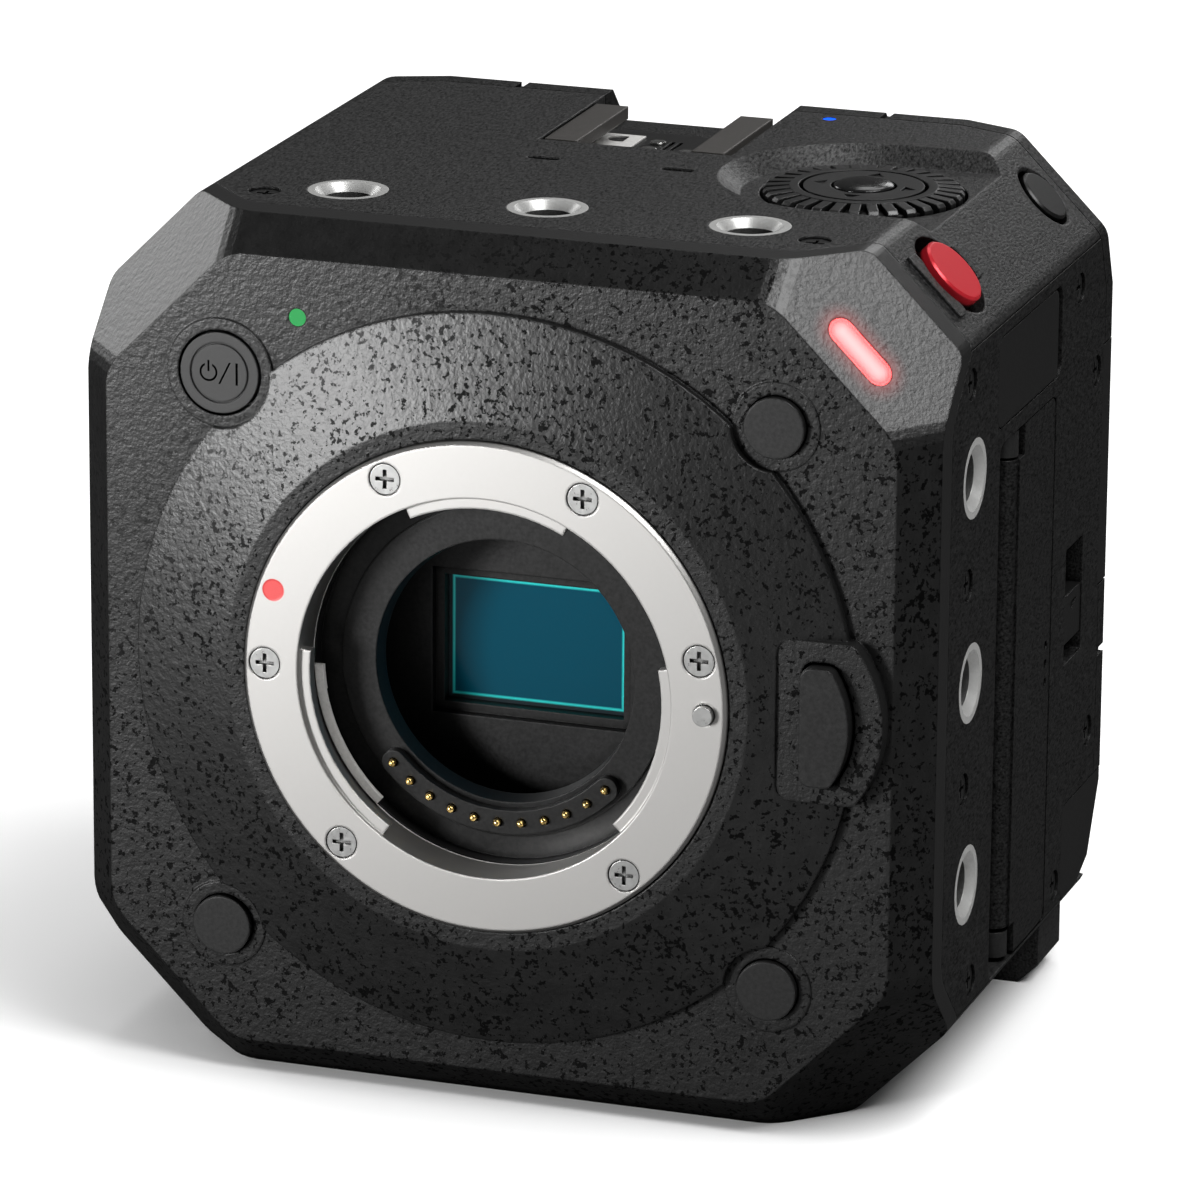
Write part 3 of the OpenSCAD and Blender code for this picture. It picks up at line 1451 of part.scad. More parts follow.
module coax_jacks() {
  color([0.75, 0.74, 0.7]) at_front() for (i = [-1, 0, 1])
    translate([coax_x, recess_y, coax_z + i * coax_pitch]) rotate([-90, 0, 0]) {
      difference() {
        union() {
          cylinder(r = coax_flange_r, h = coax_flange_t, $fn = 6);
          cylinder(r = coax_r, h = coax_l);
          for (s = [0, 180]) rotate([0, 0, s]) translate([0, 0, coax_l - 3 * coax_lug_r]) rotate([0, 90, 0])
            cylinder(r = coax_lug_r, h = coax_r + coax_lug_r);
        }
        translate([0, 0, coax_flange_t + jack_end]) cylinder(r = coax_bore, h = coax_l);
      }
      cylinder(r = coax_core_r, h = coax_l / 2);
      cylinder(r = coax_pin_r, h = coax_l - coax_pin_r);
    }
}

/* Boards and cooling */
main_y = chassis_y + post_l;
main_half = 33;
main_t = 1.6;
fan_x = (wall - door_pocket - fine / 2 - card_case_l) / 2;
fan_w = 40;
fan_d = 10;
fan_bore_r = 18.8;
fan_corner = 2.5;
fan_hub_r = 8;
fan_r = 18.2;
fan_gap = 0.6;
blade_count = 7;
fan_blade_t = 1.2;
fan_web = 1;
sink_w = 38;
sink_base_t = 2;
fin_count = 9;
fin_t = 1.2;
sink_d = 8.6;

module main_board() {
  color([0.04, 0.22, 0.1]) at_front() slab(main_y, main_y + main_t) difference() {
    square([2 * main_half, 2 * main_half], center = true);
    translate([main_half, main_half]) square([edge_cut, edge_cut], center = true);
  }
}

module heat_sink() {
  y0 = main_y + main_t;
  pitch = (sink_w - fin_t) / (fin_count - 1);
  color([0.5, 0.5, 0.51]) at_front() translate([fan_x, 0, 0]) {
    slab(y0, y0 + sink_base_t) square([sink_w, sink_w], center = true);
    for (i = [0:fin_count - 1]) block([-sink_w / 2 + i * pitch, y0, -sink_w / 2],
      [-sink_w / 2 + i * pitch + fin_t, y0 + sink_d, sink_w / 2]);
  }
}

module fan_frame() {
  y0 = main_y + main_t + sink_d;
  color([0.07, 0.07, 0.07]) at_front() translate([fan_x, 0, 0]) {
    difference() {
      slab(y0, y0 + fan_d) square([fan_w, fan_w], center = true);
      rod_y(fan_bore_r, y0 - over, y0 + fan_d + over);
    }
    rod_y(fan_hub_r, y0 + fan_d - fan_web, y0 + fan_d);
    for (a = [0, 120, 240]) rotate([0, a, 0])
      block([0, y0 + fan_d - fan_web, -fan_corner / 2], [fan_bore_r + over, y0 + fan_d, fan_corner / 2]);
  }
}

module fan_rotor() {
  y0 = main_y + main_t + sink_d + fan_gap;
  y1 = main_y + main_t + sink_d + fan_d - fan_web - fan_gap / 2;
  color([0.1, 0.1, 0.1]) at_front() translate([fan_x, 0, 0]) {
    rod_y(fan_hub_r, y0, y1);
    intersection() {
      rod_y(fan_r, y0, y1);
      for (i = [0:blade_count - 1]) rotate([0, i * 360 / blade_count, 0])
        translate([0, (y0 + y1) / 2, 0]) rotate([40, 0, 0])
          block([fan_hub_r - over, -fan_d, -fan_blade_t / 2], [fan_r + over, fan_d, fan_blade_t / 2]);
    }
  }
}

front_cover();
top_cover();
right_panel();
left_panel();
bottom_cover();
rear_cover();
chassis();
thread_inserts();
case_screws();
mount_ring();
mount_screws();
mount_spring();
lock_pin();
release_button();
mount_baffle();
contact_block();
contact_pins();
sensor_frame();
sensor_glass();
image_sensor();
sensor_board();
power_button();
power_lamp();
tally_lamp();
network_lamp();
front_caps();
control_dial();
cursor_pad();
menu_button();
dial_axle();
rec_button();
cancel_button();
function_button();
quick_button();
playback_button();
shoe_base();
shoe_rails();
shoe_spring();
shoe_contacts();
remote_cover();
remote_jack();
card_door();
card_hinge_pin();
door_latch();
card_slots();
dc_cover();
dc_jack();
port_cover();
lan_jack();
hdmi_jack();
usb_jack();
audio_jacks();
coax_jacks();
battery_contacts();
battery_latch();
main_board();
heat_sink();
fan_frame();
fan_rotor();
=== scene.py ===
import json
import math
import bpy
from mathutils import Matrix, Vector

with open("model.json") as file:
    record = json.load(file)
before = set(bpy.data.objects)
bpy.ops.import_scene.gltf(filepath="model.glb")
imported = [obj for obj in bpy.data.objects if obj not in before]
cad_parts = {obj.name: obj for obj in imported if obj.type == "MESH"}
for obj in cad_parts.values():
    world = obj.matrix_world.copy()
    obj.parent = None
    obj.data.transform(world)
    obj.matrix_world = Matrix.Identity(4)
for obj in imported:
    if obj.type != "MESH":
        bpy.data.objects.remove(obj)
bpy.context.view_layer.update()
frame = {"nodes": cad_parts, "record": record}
nodes = frame["nodes"]
scene = bpy.context.scene
print("frame loaded")

# Camera, solved from the photograph
cameraLook = {
    "lens": 232.38,
    "sensor": 36.0,
    "near": 0.05,
    "far": 20.0,
    "place": (0.25452, -0.75373, 0.28718),
    "right": (0.94655, 0.32248, 0.00748),
    "back": (0.30647, -0.90630, 0.29103),
}


def makeCamera(look):
    data = bpy.data.cameras.new("camera")
    data.lens = look["lens"]
    data.sensor_width = look["sensor"]
    data.clip_start = look["near"]
    data.clip_end = look["far"]
    camera = bpy.data.objects.new("camera", data)
    back = Vector(look["back"]).normalized()
    right = Vector(look["right"])
    right = (right - back * right.dot(back)).normalized()
    up = back.cross(right)
    turn = Matrix((right, up, back)).transposed()
    camera.matrix_world = Matrix.Translation(look["place"]) @ turn.to_4x4()
    scene.collection.objects.link(camera)
    scene.camera = camera


makeCamera(cameraLook)
print("camera placed")

# Directions of the body
ahead = (0.0, -1.0, 0.0)
upward = (0.0, 0.0, 1.0)
bevelOut = (0.7071, 0.0, 0.7071)  # square out of the right upper chamfer
bevelDown = (0.7071, 0.0, -0.7071)  # down along that chamfer, to the right
evenStretch = (1.0, 1.0, 1.0)


def grey(value):
    return (value, value, value, 1.0)


def tinted(color, factor):
    return tuple(min(1.0, part * factor) for part in color[:3]) + (1.0,)


def middle(name):
    spots = [vertex.co for vertex in nodes[name].data.vertices]
    ends = [(min(spot[i] for spot in spots), max(spot[i] for spot in spots)) for i in range(3)]
    return Vector([(low + high) / 2.0 for low, high in ends])


# Short ways to add and join the nodes of one tree
class Wiring:
    def __init__(self, tree):
        self.tree = tree

    def node(self, kind, **values):
        made = self.tree.nodes.new(kind)
        for key, value in values.items():
            setattr(made, key, value)
        return made

    def put(self, socket, value):
        if hasattr(value, "is_output"):
            self.tree.links.new(value, socket)
        else:
            socket.default_value = value

    def math(self, kind, first, second=0.0):
        made = self.node("ShaderNodeMath", operation=kind)
        self.put(made.inputs[0], first)
        self.put(made.inputs[1], second)
        return made.outputs[0]

    def vector(self, kind, first, second=(0.0, 0.0, 0.0)):
        made = self.node("ShaderNodeVectorMath", operation=kind)
        self.put(made.inputs[0], first)
        self.put(made.inputs[1], second)
        return made.outputs["Value" if kind in ("DOT_PRODUCT", "DISTANCE") else "Vector"]

    def noise(self, spot, scale, detail=2.0, roughness=0.5):
        made = self.node("ShaderNodeTexNoise")
        self.put(made.inputs["Vector"], spot)
        self.put(made.inputs["Scale"], scale)
        self.put(made.inputs["Detail"], detail)
        self.put(made.inputs["Roughness"], roughness)
        return made.outputs["Fac"]

    def span(self, value, low, high, toLow=0.0, toHigh=1.0):
        made = self.node("ShaderNodeMapRange")
        self.put(made.inputs["Value"], value)
        self.put(made.inputs["From Min"], low)
        self.put(made.inputs["From Max"], high)
        self.put(made.inputs["To Min"], toLow)
        self.put(made.inputs["To Max"], toHigh)
        return made.outputs["Result"]

    def mix(self, share, first, second):
        made = self.node("ShaderNodeMix", data_type="RGBA")
        self.put(made.inputs["Factor"], share)
        sockets = [socket for socket in made.inputs if socket.type == "RGBA"]
        self.put(sockets[0], first)
        self.put(sockets[1], second)
        return [socket for socket in made.outputs if socket.type == "RGBA"][0]

    # Ambient occlusion for painted shade: one in the open, nought down in gaps narrower than the given
    # distance
    def open(self, distance, low, high):
        made = self.node("ShaderNodeAmbientOcclusion", samples=6)
        self.put(made.inputs["Distance"], distance)
        return self.span(made.outputs["AO"], low, high)


# A new shader node group, with the sockets it takes in and gives out
def makeGroup(name, takes, gives):
    tree = bpy.data.node_groups.new(name, "ShaderNodeTree")
    for way, sockets in (("INPUT", takes), ("OUTPUT", gives)):
        for label, kind in sockets.items():
            tree.interface.new_socket(name=label, in_out=way, socket_type="NodeSocket" + kind)
    group = Wiring(tree)
    return group, group.node("NodeGroupInput").outputs, group.node("NodeGroupOutput").inputs


grainLook = {"low": 0.3, "high": 0.7}  # heights at the ends of the tone


# Fine grain: its height, and its tone from nought to one
def grainGroup(look):
    takes = {"Stretch": "Vector", "Scale": "Float", "Detail": "Float", "Roughness": "Float"}
    group, taken, given = makeGroup("surfaceGrain", takes, {"Height": "Float", "Tone": "Float"})
    place = group.node("ShaderNodeTexCoord")
    spot = group.vector("MULTIPLY", place.outputs["Object"], taken["Stretch"])
    height = group.noise(spot, taken["Scale"], taken["Detail"], taken["Roughness"])
    group.put(given["Height"], height)
    group.put(given["Tone"], group.span(height, look["low"], look["high"]))
    return group.tree


# Painted shade in gaps: one in the open and nought in a gap
def gapGroup():
    takes = {"Distance": "Float", "Low": "Float", "High": "Float"}
    group, taken, given = makeGroup("paintedGapShade", takes, {"Open": "Float"})
    group.put(given["Open"], group.open(taken["Distance"], taken["Low"], taken["High"]))
    return group.tree


# Rounded edges, and a height laid over them
def edgeGroup():
    takes = {"Radius": "Float", "Height": "Float", "Strength": "Float", "Distance": "Float"}
    group, taken, given = makeGroup("roundEdges", takes, {"Normal": "Vector"})
    rounded = group.node("ShaderNodeBevel", samples=4)
    group.put(rounded.inputs["Radius"], taken["Radius"])
    bump = group.node("ShaderNodeBump")
    for label in ("Height", "Strength", "Distance"):
        group.put(bump.inputs[label], taken[label])
    group.put(bump.inputs["Normal"], rounded.outputs["Normal"])
    group.put(given["Normal"], bump.outputs["Normal"])
    return group.tree


# Distance from a short line, for lamps and their glow
def lineGroup():
    takes = {"Centre": "Vector", "Along": "Vector", "Half": "Float"}
    group, taken, given = makeGroup("lineReach", takes, {"Reach": "Float"})
    place = group.node("ShaderNodeTexCoord")
    offset = group.vector("SUBTRACT", place.outputs["Object"], taken["Centre"])
    along = group.vector("DOT_PRODUCT", offset, taken["Along"])
    held = group.math("MINIMUM", along, taken["Half"])
    held = group.math("MAXIMUM", held, group.math("MULTIPLY", taken["Half"], -1.0))
    nearest = group.node("ShaderNodeVectorMath", operation="SCALE")
    group.put(nearest.inputs[0], taken["Along"])
    group.put(nearest.inputs["Scale"], held)
    group.put(given["Reach"], group.vector("DISTANCE", offset, nearest.outputs["Vector"]))
    return group.tree


surfaceGrain = grainGroup(grainLook)
paintedGapShade = gapGroup()
roundEdges = edgeGroup()
lineReach = lineGroup()
print("node groups built")


# One material, which places the groups with its own values
class Shade(Wiring):
    def __init__(self, name):
        self.material = bpy.data.materials.new(name)
        self.material.use_nodes = True
        super().__init__(self.material.node_tree)
        self.shader = self.tree.nodes["Principled BSDF"]
        place = self.node("ShaderNodeTexCoord")
        self.spot = place.outputs["Object"]
        self.facing = place.outputs["Normal"]

    def base(self, color, roughness, metallic=0.0, **more):
        self.put(self.shader.inputs["Base Color"], color)
        self.put(self.shader.inputs["Roughness"], roughness)
        self.put(self.shader.inputs["Metallic"], metallic)
        for key, value in more.items():
            self.put(self.shader.inputs[key.replace("_", " ")], value)

    def glow(self, color, strength):
        self.put(self.shader.inputs["Emission Color"], color)
        self.put(self.shader.inputs["Emission Strength"], strength)

    def placed(self, group, **values):
        made = self.node("ShaderNodeGroup", node_tree=group)
        for label, value in values.items():
            self.put(made.inputs[label], value)
        return made.outputs

    def grain(self, scale, detail=2.0, roughness=0.5, stretch=evenStretch):
        return self.placed(surfaceGrain, Scale=scale, Detail=detail, Roughness=roughness, Stretch=stretch)

    def clear(self, distance, low, high):
        return self.placed(paintedGapShade, Distance=distance, Low=low, High=high)["Open"]

    def relief(self, edge, height=0.0, strength=0.0, distance=0.0002):
        made = self.placed(roundEdges, Radius=edge, Height=height, Strength=strength, Distance=distance)
        self.put(self.shader.inputs["Normal"], made["Normal"])

    def reach(self, name, half):
        return self.placed(lineReach, Centre=tuple(middle(name)), Along=bevelDown, Half=half)["Reach"]

    # Place on the surface, measured from the middle of a piece
    def fromMiddle(self, name):
        parts = self.node("ShaderNodeSeparateXYZ")
        self.put(parts.inputs[0], self.vector("SUBTRACT", self.spot, tuple(middle(name))))
        return parts.outputs


# Lamps: pale core and a saturated rim
tallyLook = {
    "half": 0.00272,
    "core": (1.0, 0.44, 0.44, 1.0),
    "rim": (1.0, 0.012, 0.015, 1.0),
    "near": 0.00095,
    "far": 0.0015,
    "power": 1.0,
    "roughness": 0.25,
}
powerLampLook = {
    "half": 0.0,
    "core": (0.02, 0.6, 0.15, 1.0),
    "rim": (0.0, 0.16, 0.03, 1.0),
    "near": 0.0002,
    "far": 0.0006,
    "power": 0.9,
    "roughness": 0.25,
}
networkLampLook = {
    "half": 0.0,
    "core": (0.03, 0.25, 1.0, 1.0),
    "rim": (0.0, 0.09, 0.9, 1.0),
    "near": 0.0002,
    "far": 0.0006,
    "power": 0.9,
    "roughness": 0.25,
}


def lampLens(name, node, look):
    shade = Shade(name)
    rim = shade.span(shade.reach(node, look["half"]), look["near"], look["far"])
    shade.base(look["rim"], look["roughness"])
    shade.glow(shade.mix(rim, look["core"], look["rim"]), look["power"])
    return shade.material


# Front paint: leather-like grain and black specks of painted shade on what faces the front
frontLook = {
    "light": 0.006,
    "dark": 0.0035,
    "strip": 0.009,  # the sides of the front cover
    "flat": (0.25, 0.5),
    "roughness": 0.37,
    "shine": 0.5,
    "cloudScale": 500.0,
    "cloud": (0.35, 0.65),
    "grainScale": 1700.0,
    "grainRoughness": 0.6,
    "grain": 0.2,  # strength of the bump on what faces the front
    "sideGrain": 0.06,  # the same on the sides
    "grainDepth": 0.0003,
    "edge": 0.0003,
    "gap": 0.0012,
    "gapRange": (0.3, 0.75),
}
grainShadeLook = {
    "tone": 0.001,
    "scale": 1450.0,
    "detail": 3.0,
    "noiseRoughness": 0.62,
    "rougher": 0.15,  # how much rougher a speck is
    "shine": 0.08,
    "patchScale": 170.0,
    "patch": (0.38, 0.46),
    "rim": (-0.012, 0.02),
    "upperLeft": (-0.078, -0.058),
    "upperLeftShare": 0.3,
    "side": (0.08, 0.2),
    "sideWeight": 0.55,
    "top": (0.25, 0.45),
    "bevelShare": 0.15,
}
haloLook = {"color": (1.0, 0.03, 0.03, 1.0), "far": 0.0038, "near": 0.0013, "power": 0.3}


# Specks of painted shade in the hollows of the grain, in uneven patches, fewer at the upper left and where
# the front slopes to its upper corners, where the light falls
def grainShadeSpecks(shade, flat, look):
    fine = shade.noise(shade.spot, look["scale"], look["detail"], look["noiseRoughness"])
    patch = shade.noise(shade.spot, look["patchScale"])
    level = shade.span(patch, grainLook["low"], grainLook["high"], *look["patch"])
    shadeSpeck = shade.span(shade.math("SUBTRACT", level, fine), *look["rim"])
    # Painted shade: fewer specks where the light falls, at the upper left and on the bevels that face up
    across = shade.vector("DOT_PRODUCT", shade.spot, bevelDown)
    shown = shade.span(across, *look["upperLeft"], look["upperLeftShare"], 1.0)
    shown = shade.math("MULTIPLY", shown, flat)
    side = shade.vector("ABSOLUTE", shade.facing)
    side = shade.vector("DOT_PRODUCT", side, (look["sideWeight"], 0.0, 0.0))
    top = shade.vector("DOT_PRODUCT", shade.facing, upward)
    bevel = shade.math("MULTIPLY", shade.span(side, *look["side"]), shade.span(top, *look["top"]))
    shown = shade.math("MULTIPLY", shown, shade.span(bevel, 0.0, 1.0, 1.0, look["bevelShare"]))
    return shade.math("MULTIPLY", shadeSpeck, shown)


def frontPaint(look, grainShade, halo):
    shade = Shade("frontPaint")
    flat = shade.span(shade.vector("DOT_PRODUCT", shade.facing, ahead), *look["flat"])
    shadeSpeck = grainShadeSpecks(shade, flat, grainShade)
    cloud = shade.span(shade.grain(look["cloudScale"])["Height"], *look["cloud"])
    body = shade.mix(cloud, grey(look["dark"]), grey(look["light"]))
    body = shade.mix(flat, grey(look["strip"]), body)
    # Painted shade: gaps and creases take the specks' near black, with more roughness and less sheen
    gap = shade.math("SUBTRACT", 1.0, shade.clear(look["gap"], *look["gapRange"]))
    dull = shade.math("MAXIMUM", shadeSpeck, gap)
    color = shade.mix(dull, body, grey(grainShade["tone"]))
    rough = shade.span(dull, 0.0, 1.0, look["roughness"], look["roughness"] + grainShade["rougher"])
    # Groups don't feed the specular level, so it reads nodes of the material itself
    ownGap = shade.math("SUBTRACT", 1.0, shade.open(look["gap"], *look["gapRange"]))
    ownDull = shade.math("MAXIMUM", shadeSpeck, ownGap)
    shine = shade.span(ownDull, 0.0, 1.0, look["shine"], grainShade["shine"])
    shade.base(color, rough, Specular_IOR_Level=shine)
    grain = shade.grain(look["grainScale"], roughness=look["grainRoughness"])["Height"]
    strength = shade.span(flat, 0.0, 1.0, look["sideGrain"], look["grain"])
    shade.relief(look["edge"], grain, strength, look["grainDepth"])
    # Painted light: the tally lamp's red glow on the cover around it is painted as emission
    near = shade.span(shade.reach("tally_lamp", tallyLook["half"]), halo["far"], halo["near"])
    near = shade.math("MULTIPLY", near, near)
    shade.glow(shade.mix(near, grey(0.0), halo["color"]), halo["power"])
    return shade.material


# What every satin finish starts from. Each finish below says what differs
plainSatin = {
    "metallic": 0.0,
    "grain": 2400.0,
    "detail": 3.0,
    "noiseRoughness": 0.6,
    "strength": 0.06,  # of the grain's bump
    "spread": 0.12,  # of tone and sheen
    "roughSpread": (-0.03, 0.04),
    "edge": 0.0002,
    "shine": 0.4,
    "stretch": evenStretch,
    "gap": 0.0012,
    "gapRange": (0.3, 0.75),
    "gapShadeTone": 0.12,
}


def satin(name, changes):
    look = {**plainSatin, **changes}
    shade = Shade(name)
    less, more = 1.0 - look["spread"], 1.0 + look["spread"]
    grain = shade.grain(look["grain"], look["detail"], look["noiseRoughness"], look["stretch"])
    tone = shade.mix(grain["Tone"], tinted(look["color"], less), tinted(look["color"], more))
    # Painted shade: in gaps and creases the colour darkens to the gap shade tone and the sheen dims
    clear = shade.clear(look["gap"], *look["gapRange"])
    color = shade.mix(clear, tinted(look["color"], look["gapShadeTone"]), tone)
    smooth, dull = (look["roughness"] + step for step in look["roughSpread"])
    rough = shade.span(grain["Tone"], 0.0, 1.0, smooth, dull)
    # Groups don't feed the specular level, so it reads nodes of the material itself
    spot = shade.vector("MULTIPLY", shade.spot, look["stretch"])
    fine = shade.noise(spot, look["grain"], look["detail"], look["noiseRoughness"])
    sheen = shade.span(fine, grainLook["low"], grainLook["high"], look["shine"] * less, look["shine"] * more)
    shine = shade.math("MULTIPLY", shade.open(look["gap"], *look["gapRange"]), sheen)
    shade.base(color, rough, look["metallic"], Specular_IOR_Level=shine)
    shade.relief(look["edge"], grain["Height"], look["strength"])
    return shade.material


# Mount ring: satin steel with the painted red index dot
ringLook = {
    "steel": (0.56, 0.55, 0.535, 1.0),
    "darker": 0.97,
    "grain": 2500.0,
    "roughness": 0.42,
    "edge": 0.0003,
    "dot": (0.62, 0.05, 0.05, 1.0),
    "dotRoughness": 0.45,
    "dotRadius": 0.0012,
    "dotReach": 0.02446,
    "dotAngle": 160.0,
    "dotSoft": 0.00005,
    "dotFace": (0.8, 0.9),
    "rimWidth": 0.0002,
    "rimStrength": 0.5,
    "rimDepth": 0.00015,
}


def mountSteel(look):
    shade = Shade("mountSteel")
    centre = middle("mount_ring")
    turn = math.radians(look["dotAngle"])
    across, up = look["dotReach"] * math.cos(turn), look["dotReach"] * math.sin(turn)
    spot = shade.vector("MULTIPLY", shade.spot, (1.0, 0.0, 1.0))
    reach = shade.vector("DISTANCE", spot, (centre.x + across, 0.0, centre.z + up))
    front = shade.span(shade.vector("DOT_PRODUCT", shade.facing, ahead), *look["dotFace"])
    radius, soft = look["dotRadius"], look["dotSoft"]
    dot = shade.math("MULTIPLY", shade.span(reach, radius + soft, radius - soft), front)
    grain = shade.grain(look["grain"])["Height"]
    steel = shade.mix(grain, tinted(look["steel"], look["darker"]), look["steel"])
    rough = shade.span(dot, 0.0, 1.0, look["roughness"], look["dotRoughness"])
    shade.base(shade.mix(dot, steel, look["dot"]), rough, shade.span(dot, 0.0, 1.0, 1.0, 0.0))
    rim = shade.span(reach, radius - look["rimWidth"], radius)
    shade.relief(look["edge"], rim, look["rimStrength"], look["rimDepth"])
    return shade.material


# Power button: printed power sign, slash and bar
powerLook = {
    "face": 0.022,
    "print": 0.001,
    "roughness": 0.5,
    "shine": 0.45,
    "grain": 2600.0,
    "strength": 0.05,
    "edge": 0.0002,
    "soft": 0.00002,
    "stroke": 0.00011,
    "half": 0.00118,
    "ringPlace": -0.0012,
    "ringRadius": 0.00088,
    "ringGap": 0.0004,
    "ringGapRise": 0.00005,
    "stemPlace": 0.00068,
    "stemHalf": 0.0006,
    "slashPlace": 0.00058,
    "slashLean": 0.5,
    "barPlace": 0.00192,
    "barStroke": 0.000132,
}


def powerFace(look):
    shade = Shade("powerFace")
    place = shade.fromMiddle("power_button")
    across, up = place["X"], place["Z"]

    def within(value, spot, half):
        away = shade.math("ABSOLUTE", shade.math("SUBTRACT", value, spot))
        return shade.span(away, half + look["soft"], half - look["soft"])

    def both(first, second):
        return shade.math("MULTIPLY", first, second)

    side = shade.math("SUBTRACT", across, look["ringPlace"])
    reach = shade.math("SQRT", shade.math("ADD", both(side, side), both(up, up)))
    ring = within(reach, look["ringRadius"], look["stroke"])
    ringGap = both(within(side, 0.0, look["ringGap"]), shade.span(up, 0.0, look["ringGapRise"]))
    ring = both(ring, shade.math("SUBTRACT", 1.0, ringGap))
    stem = both(within(side, 0.0, look["stroke"]), within(up, look["stemPlace"], look["stemHalf"]))
    lean = shade.math("SUBTRACT", across, both(up, look["slashLean"]))
    slash = both(within(lean, look["slashPlace"], look["stroke"]), within(up, 0.0, look["half"]))
    bar = both(within(across, look["barPlace"], look["barStroke"]), within(up, 0.0, look["half"]))
    sign = shade.math("MAXIMUM", shade.math("MAXIMUM", ring, stem), shade.math("MAXIMUM", slash, bar))
    color = shade.mix(sign, grey(look["face"]), grey(look["print"]))
    shine = shade.span(sign, 0.0, 1.0, look["shine"], 0.0)
    shade.base(color, look["roughness"], Specular_IOR_Level=shine)
    shade.relief(look["edge"], shade.grain(look["grain"])["Height"], look["strength"])
    return shade.material


# Record button: red anodised metal, with painted black shade below the rim of its hole
recordLook = {
    "red": (0.58, 0.018, 0.03, 1.0),
    "shadeBelowRim": (0.01, 0.002, 0.002, 1.0),
    "roughness": 0.28,
    "metallic": 0.35,
    "rise": 0.00085,
    "soft": 0.0002,
    "edge": 0.0002,
}


def recordMetal(look):
    shade = Shade("recMetal")
    top = max(vertex.co.dot(Vector(bevelOut)) for vertex in nodes["rec_button"].data.vertices)
    height = shade.vector("DOT_PRODUCT", shade.spot, bevelOut)
    # Painted shade: the part below the rim, in shadow in the hole, is painted near black and not metallic
    shown = shade.span(height, top - look["rise"] - 2.0 * look["soft"], top - look["rise"])
    metallic = shade.span(shown, 0.0, 1.0, 0.0, look["metallic"])
    shade.base(shade.mix(shown, look["shadeBelowRim"], look["red"]), look["roughness"], metallic)
    shade.relief(look["edge"])
    return shade.material


# Filter glass: teal, with a cyan line along the edge of its window
glassLook = {
    "teal": (0.0, 0.058, 0.095, 1.0),
    "line": (0.03, 0.62, 0.60, 1.0),
    "rim": (0.02, 0.03, 0.035, 1.0),
    "across": 0.0094,
    "up": 0.0064,
    "width": 0.00022,
    "soft": 0.0001,
    "roughness": 0.12,
    "shine": 0.2,
    "coat": 0.15,
    "coatRoughness": 0.04,
}


def filterGlass(look):
    shade = Shade("filterGlass")
    place = shade.fromMiddle("sensor_glass")
    across = shade.math("SUBTRACT", shade.math("ABSOLUTE", place["X"]), look["across"])
    up = shade.math("SUBTRACT", shade.math("ABSOLUTE", place["Z"]), look["up"])
    past = shade.math("MAXIMUM", across, up)
    inner, outer = shade.span(past, -look["width"], 0.0), shade.span(past, look["width"], 0.0)
    color = shade.mix(shade.span(past, 0.0, look["soft"]), look["teal"], look["rim"])
    color = shade.mix(shade.math("MULTIPLY", inner, outer), color, look["line"])
    shade.base(color, look["roughness"], Specular_IOR_Level=look["shine"],
               Coat_Weight=look["coat"], Coat_Roughness=look["coatRoughness"])
    return shade.material


# Satin finishes, each under the name of its material slot
satinLooks = {
    "cover_paint": {
        "color": (0.016, 0.016, 0.016), "roughness": 0.40, "grain": 3600.0, "strength": 0.3,
        "spread": 0.7, "edge": 0.0003, "shine": 0.35, "stretch": (1.0, 0.4, 1.0),
    },
    "panel_paint": {
        "color": (0.008, 0.008, 0.008), "roughness": 0.42, "grain": 3600.0, "strength": 0.3,
        "spread": 0.8, "edge": 0.00015, "shine": 0.3, "stretch": (1.0, 0.4, 1.0),
    },
    "screw_steel": {
        "color": (0.62, 0.62, 0.61), "roughness": 0.3, "metallic": 1.0, "strength": 0.0,
        "spread": 0.03, "edge": 0.0001,
    },
    "black_steel": {
        "color": (0.03, 0.03, 0.03), "roughness": 0.35, "metallic": 0.5, "strength": 0.0, "edge": 0.0001,
    },
    "spring_steel": {
        "color": (0.74, 0.73, 0.71), "roughness": 0.42, "metallic": 0.35, "strength": 0.02, "spread": 0.08,
    },
    "rail_steel": {
        "color": (0.10, 0.095, 0.09), "roughness": 0.38, "metallic": 0.6, "strength": 0.02,
        "spread": 0.1, "edge": 0.0003,
    },
    "black_plastic": {"color": (0.006, 0.006, 0.006), "roughness": 0.36, "strength": 0.03},
    "grey_plastic": {"color": (0.009, 0.009, 0.009), "roughness": 0.36, "strength": 0.02, "edge": 0.0003},
    "black_rubber": {"color": (0.008, 0.008, 0.008), "roughness": 0.42, "strength": 0.04, "edge": 0.0003},
    "sensor_chip": {"color": (0.01, 0.10, 0.13), "roughness": 0.2, "strength": 0.0},
    "circuit_board": {"color": (0.01, 0.09, 0.035), "roughness": 0.4},
    "cast_frame": {"color": (0.3, 0.3, 0.31), "roughness": 0.5, "metallic": 0.9},
    "sink_metal": {"color": (0.4, 0.4, 0.41), "roughness": 0.45, "metallic": 1.0},
    "contact_gold": {
        "color": (0.85, 0.6, 0.22), "roughness": 0.25, "metallic": 1.0, "strength": 0.0, "spread": 0.04,
    },
    "plated_metal": {
        "color": (0.72, 0.72, 0.70), "roughness": 0.22, "metallic": 1.0, "strength": 0.0, "spread": 0.04,
    },
}
dialLook = {"color": (0.013, 0.013, 0.013), "roughness": 0.34, "strength": 0.0, "shine": 0.6}
padLook = {"color": (0.013, 0.013, 0.013), "roughness": 0.4, "strength": 0.02}
menuLook = {
    "color": (0.008, 0.008, 0.008), "roughness": 0.2, "strength": 0.0, "edge": 0.0001, "shine": 0.6,
}
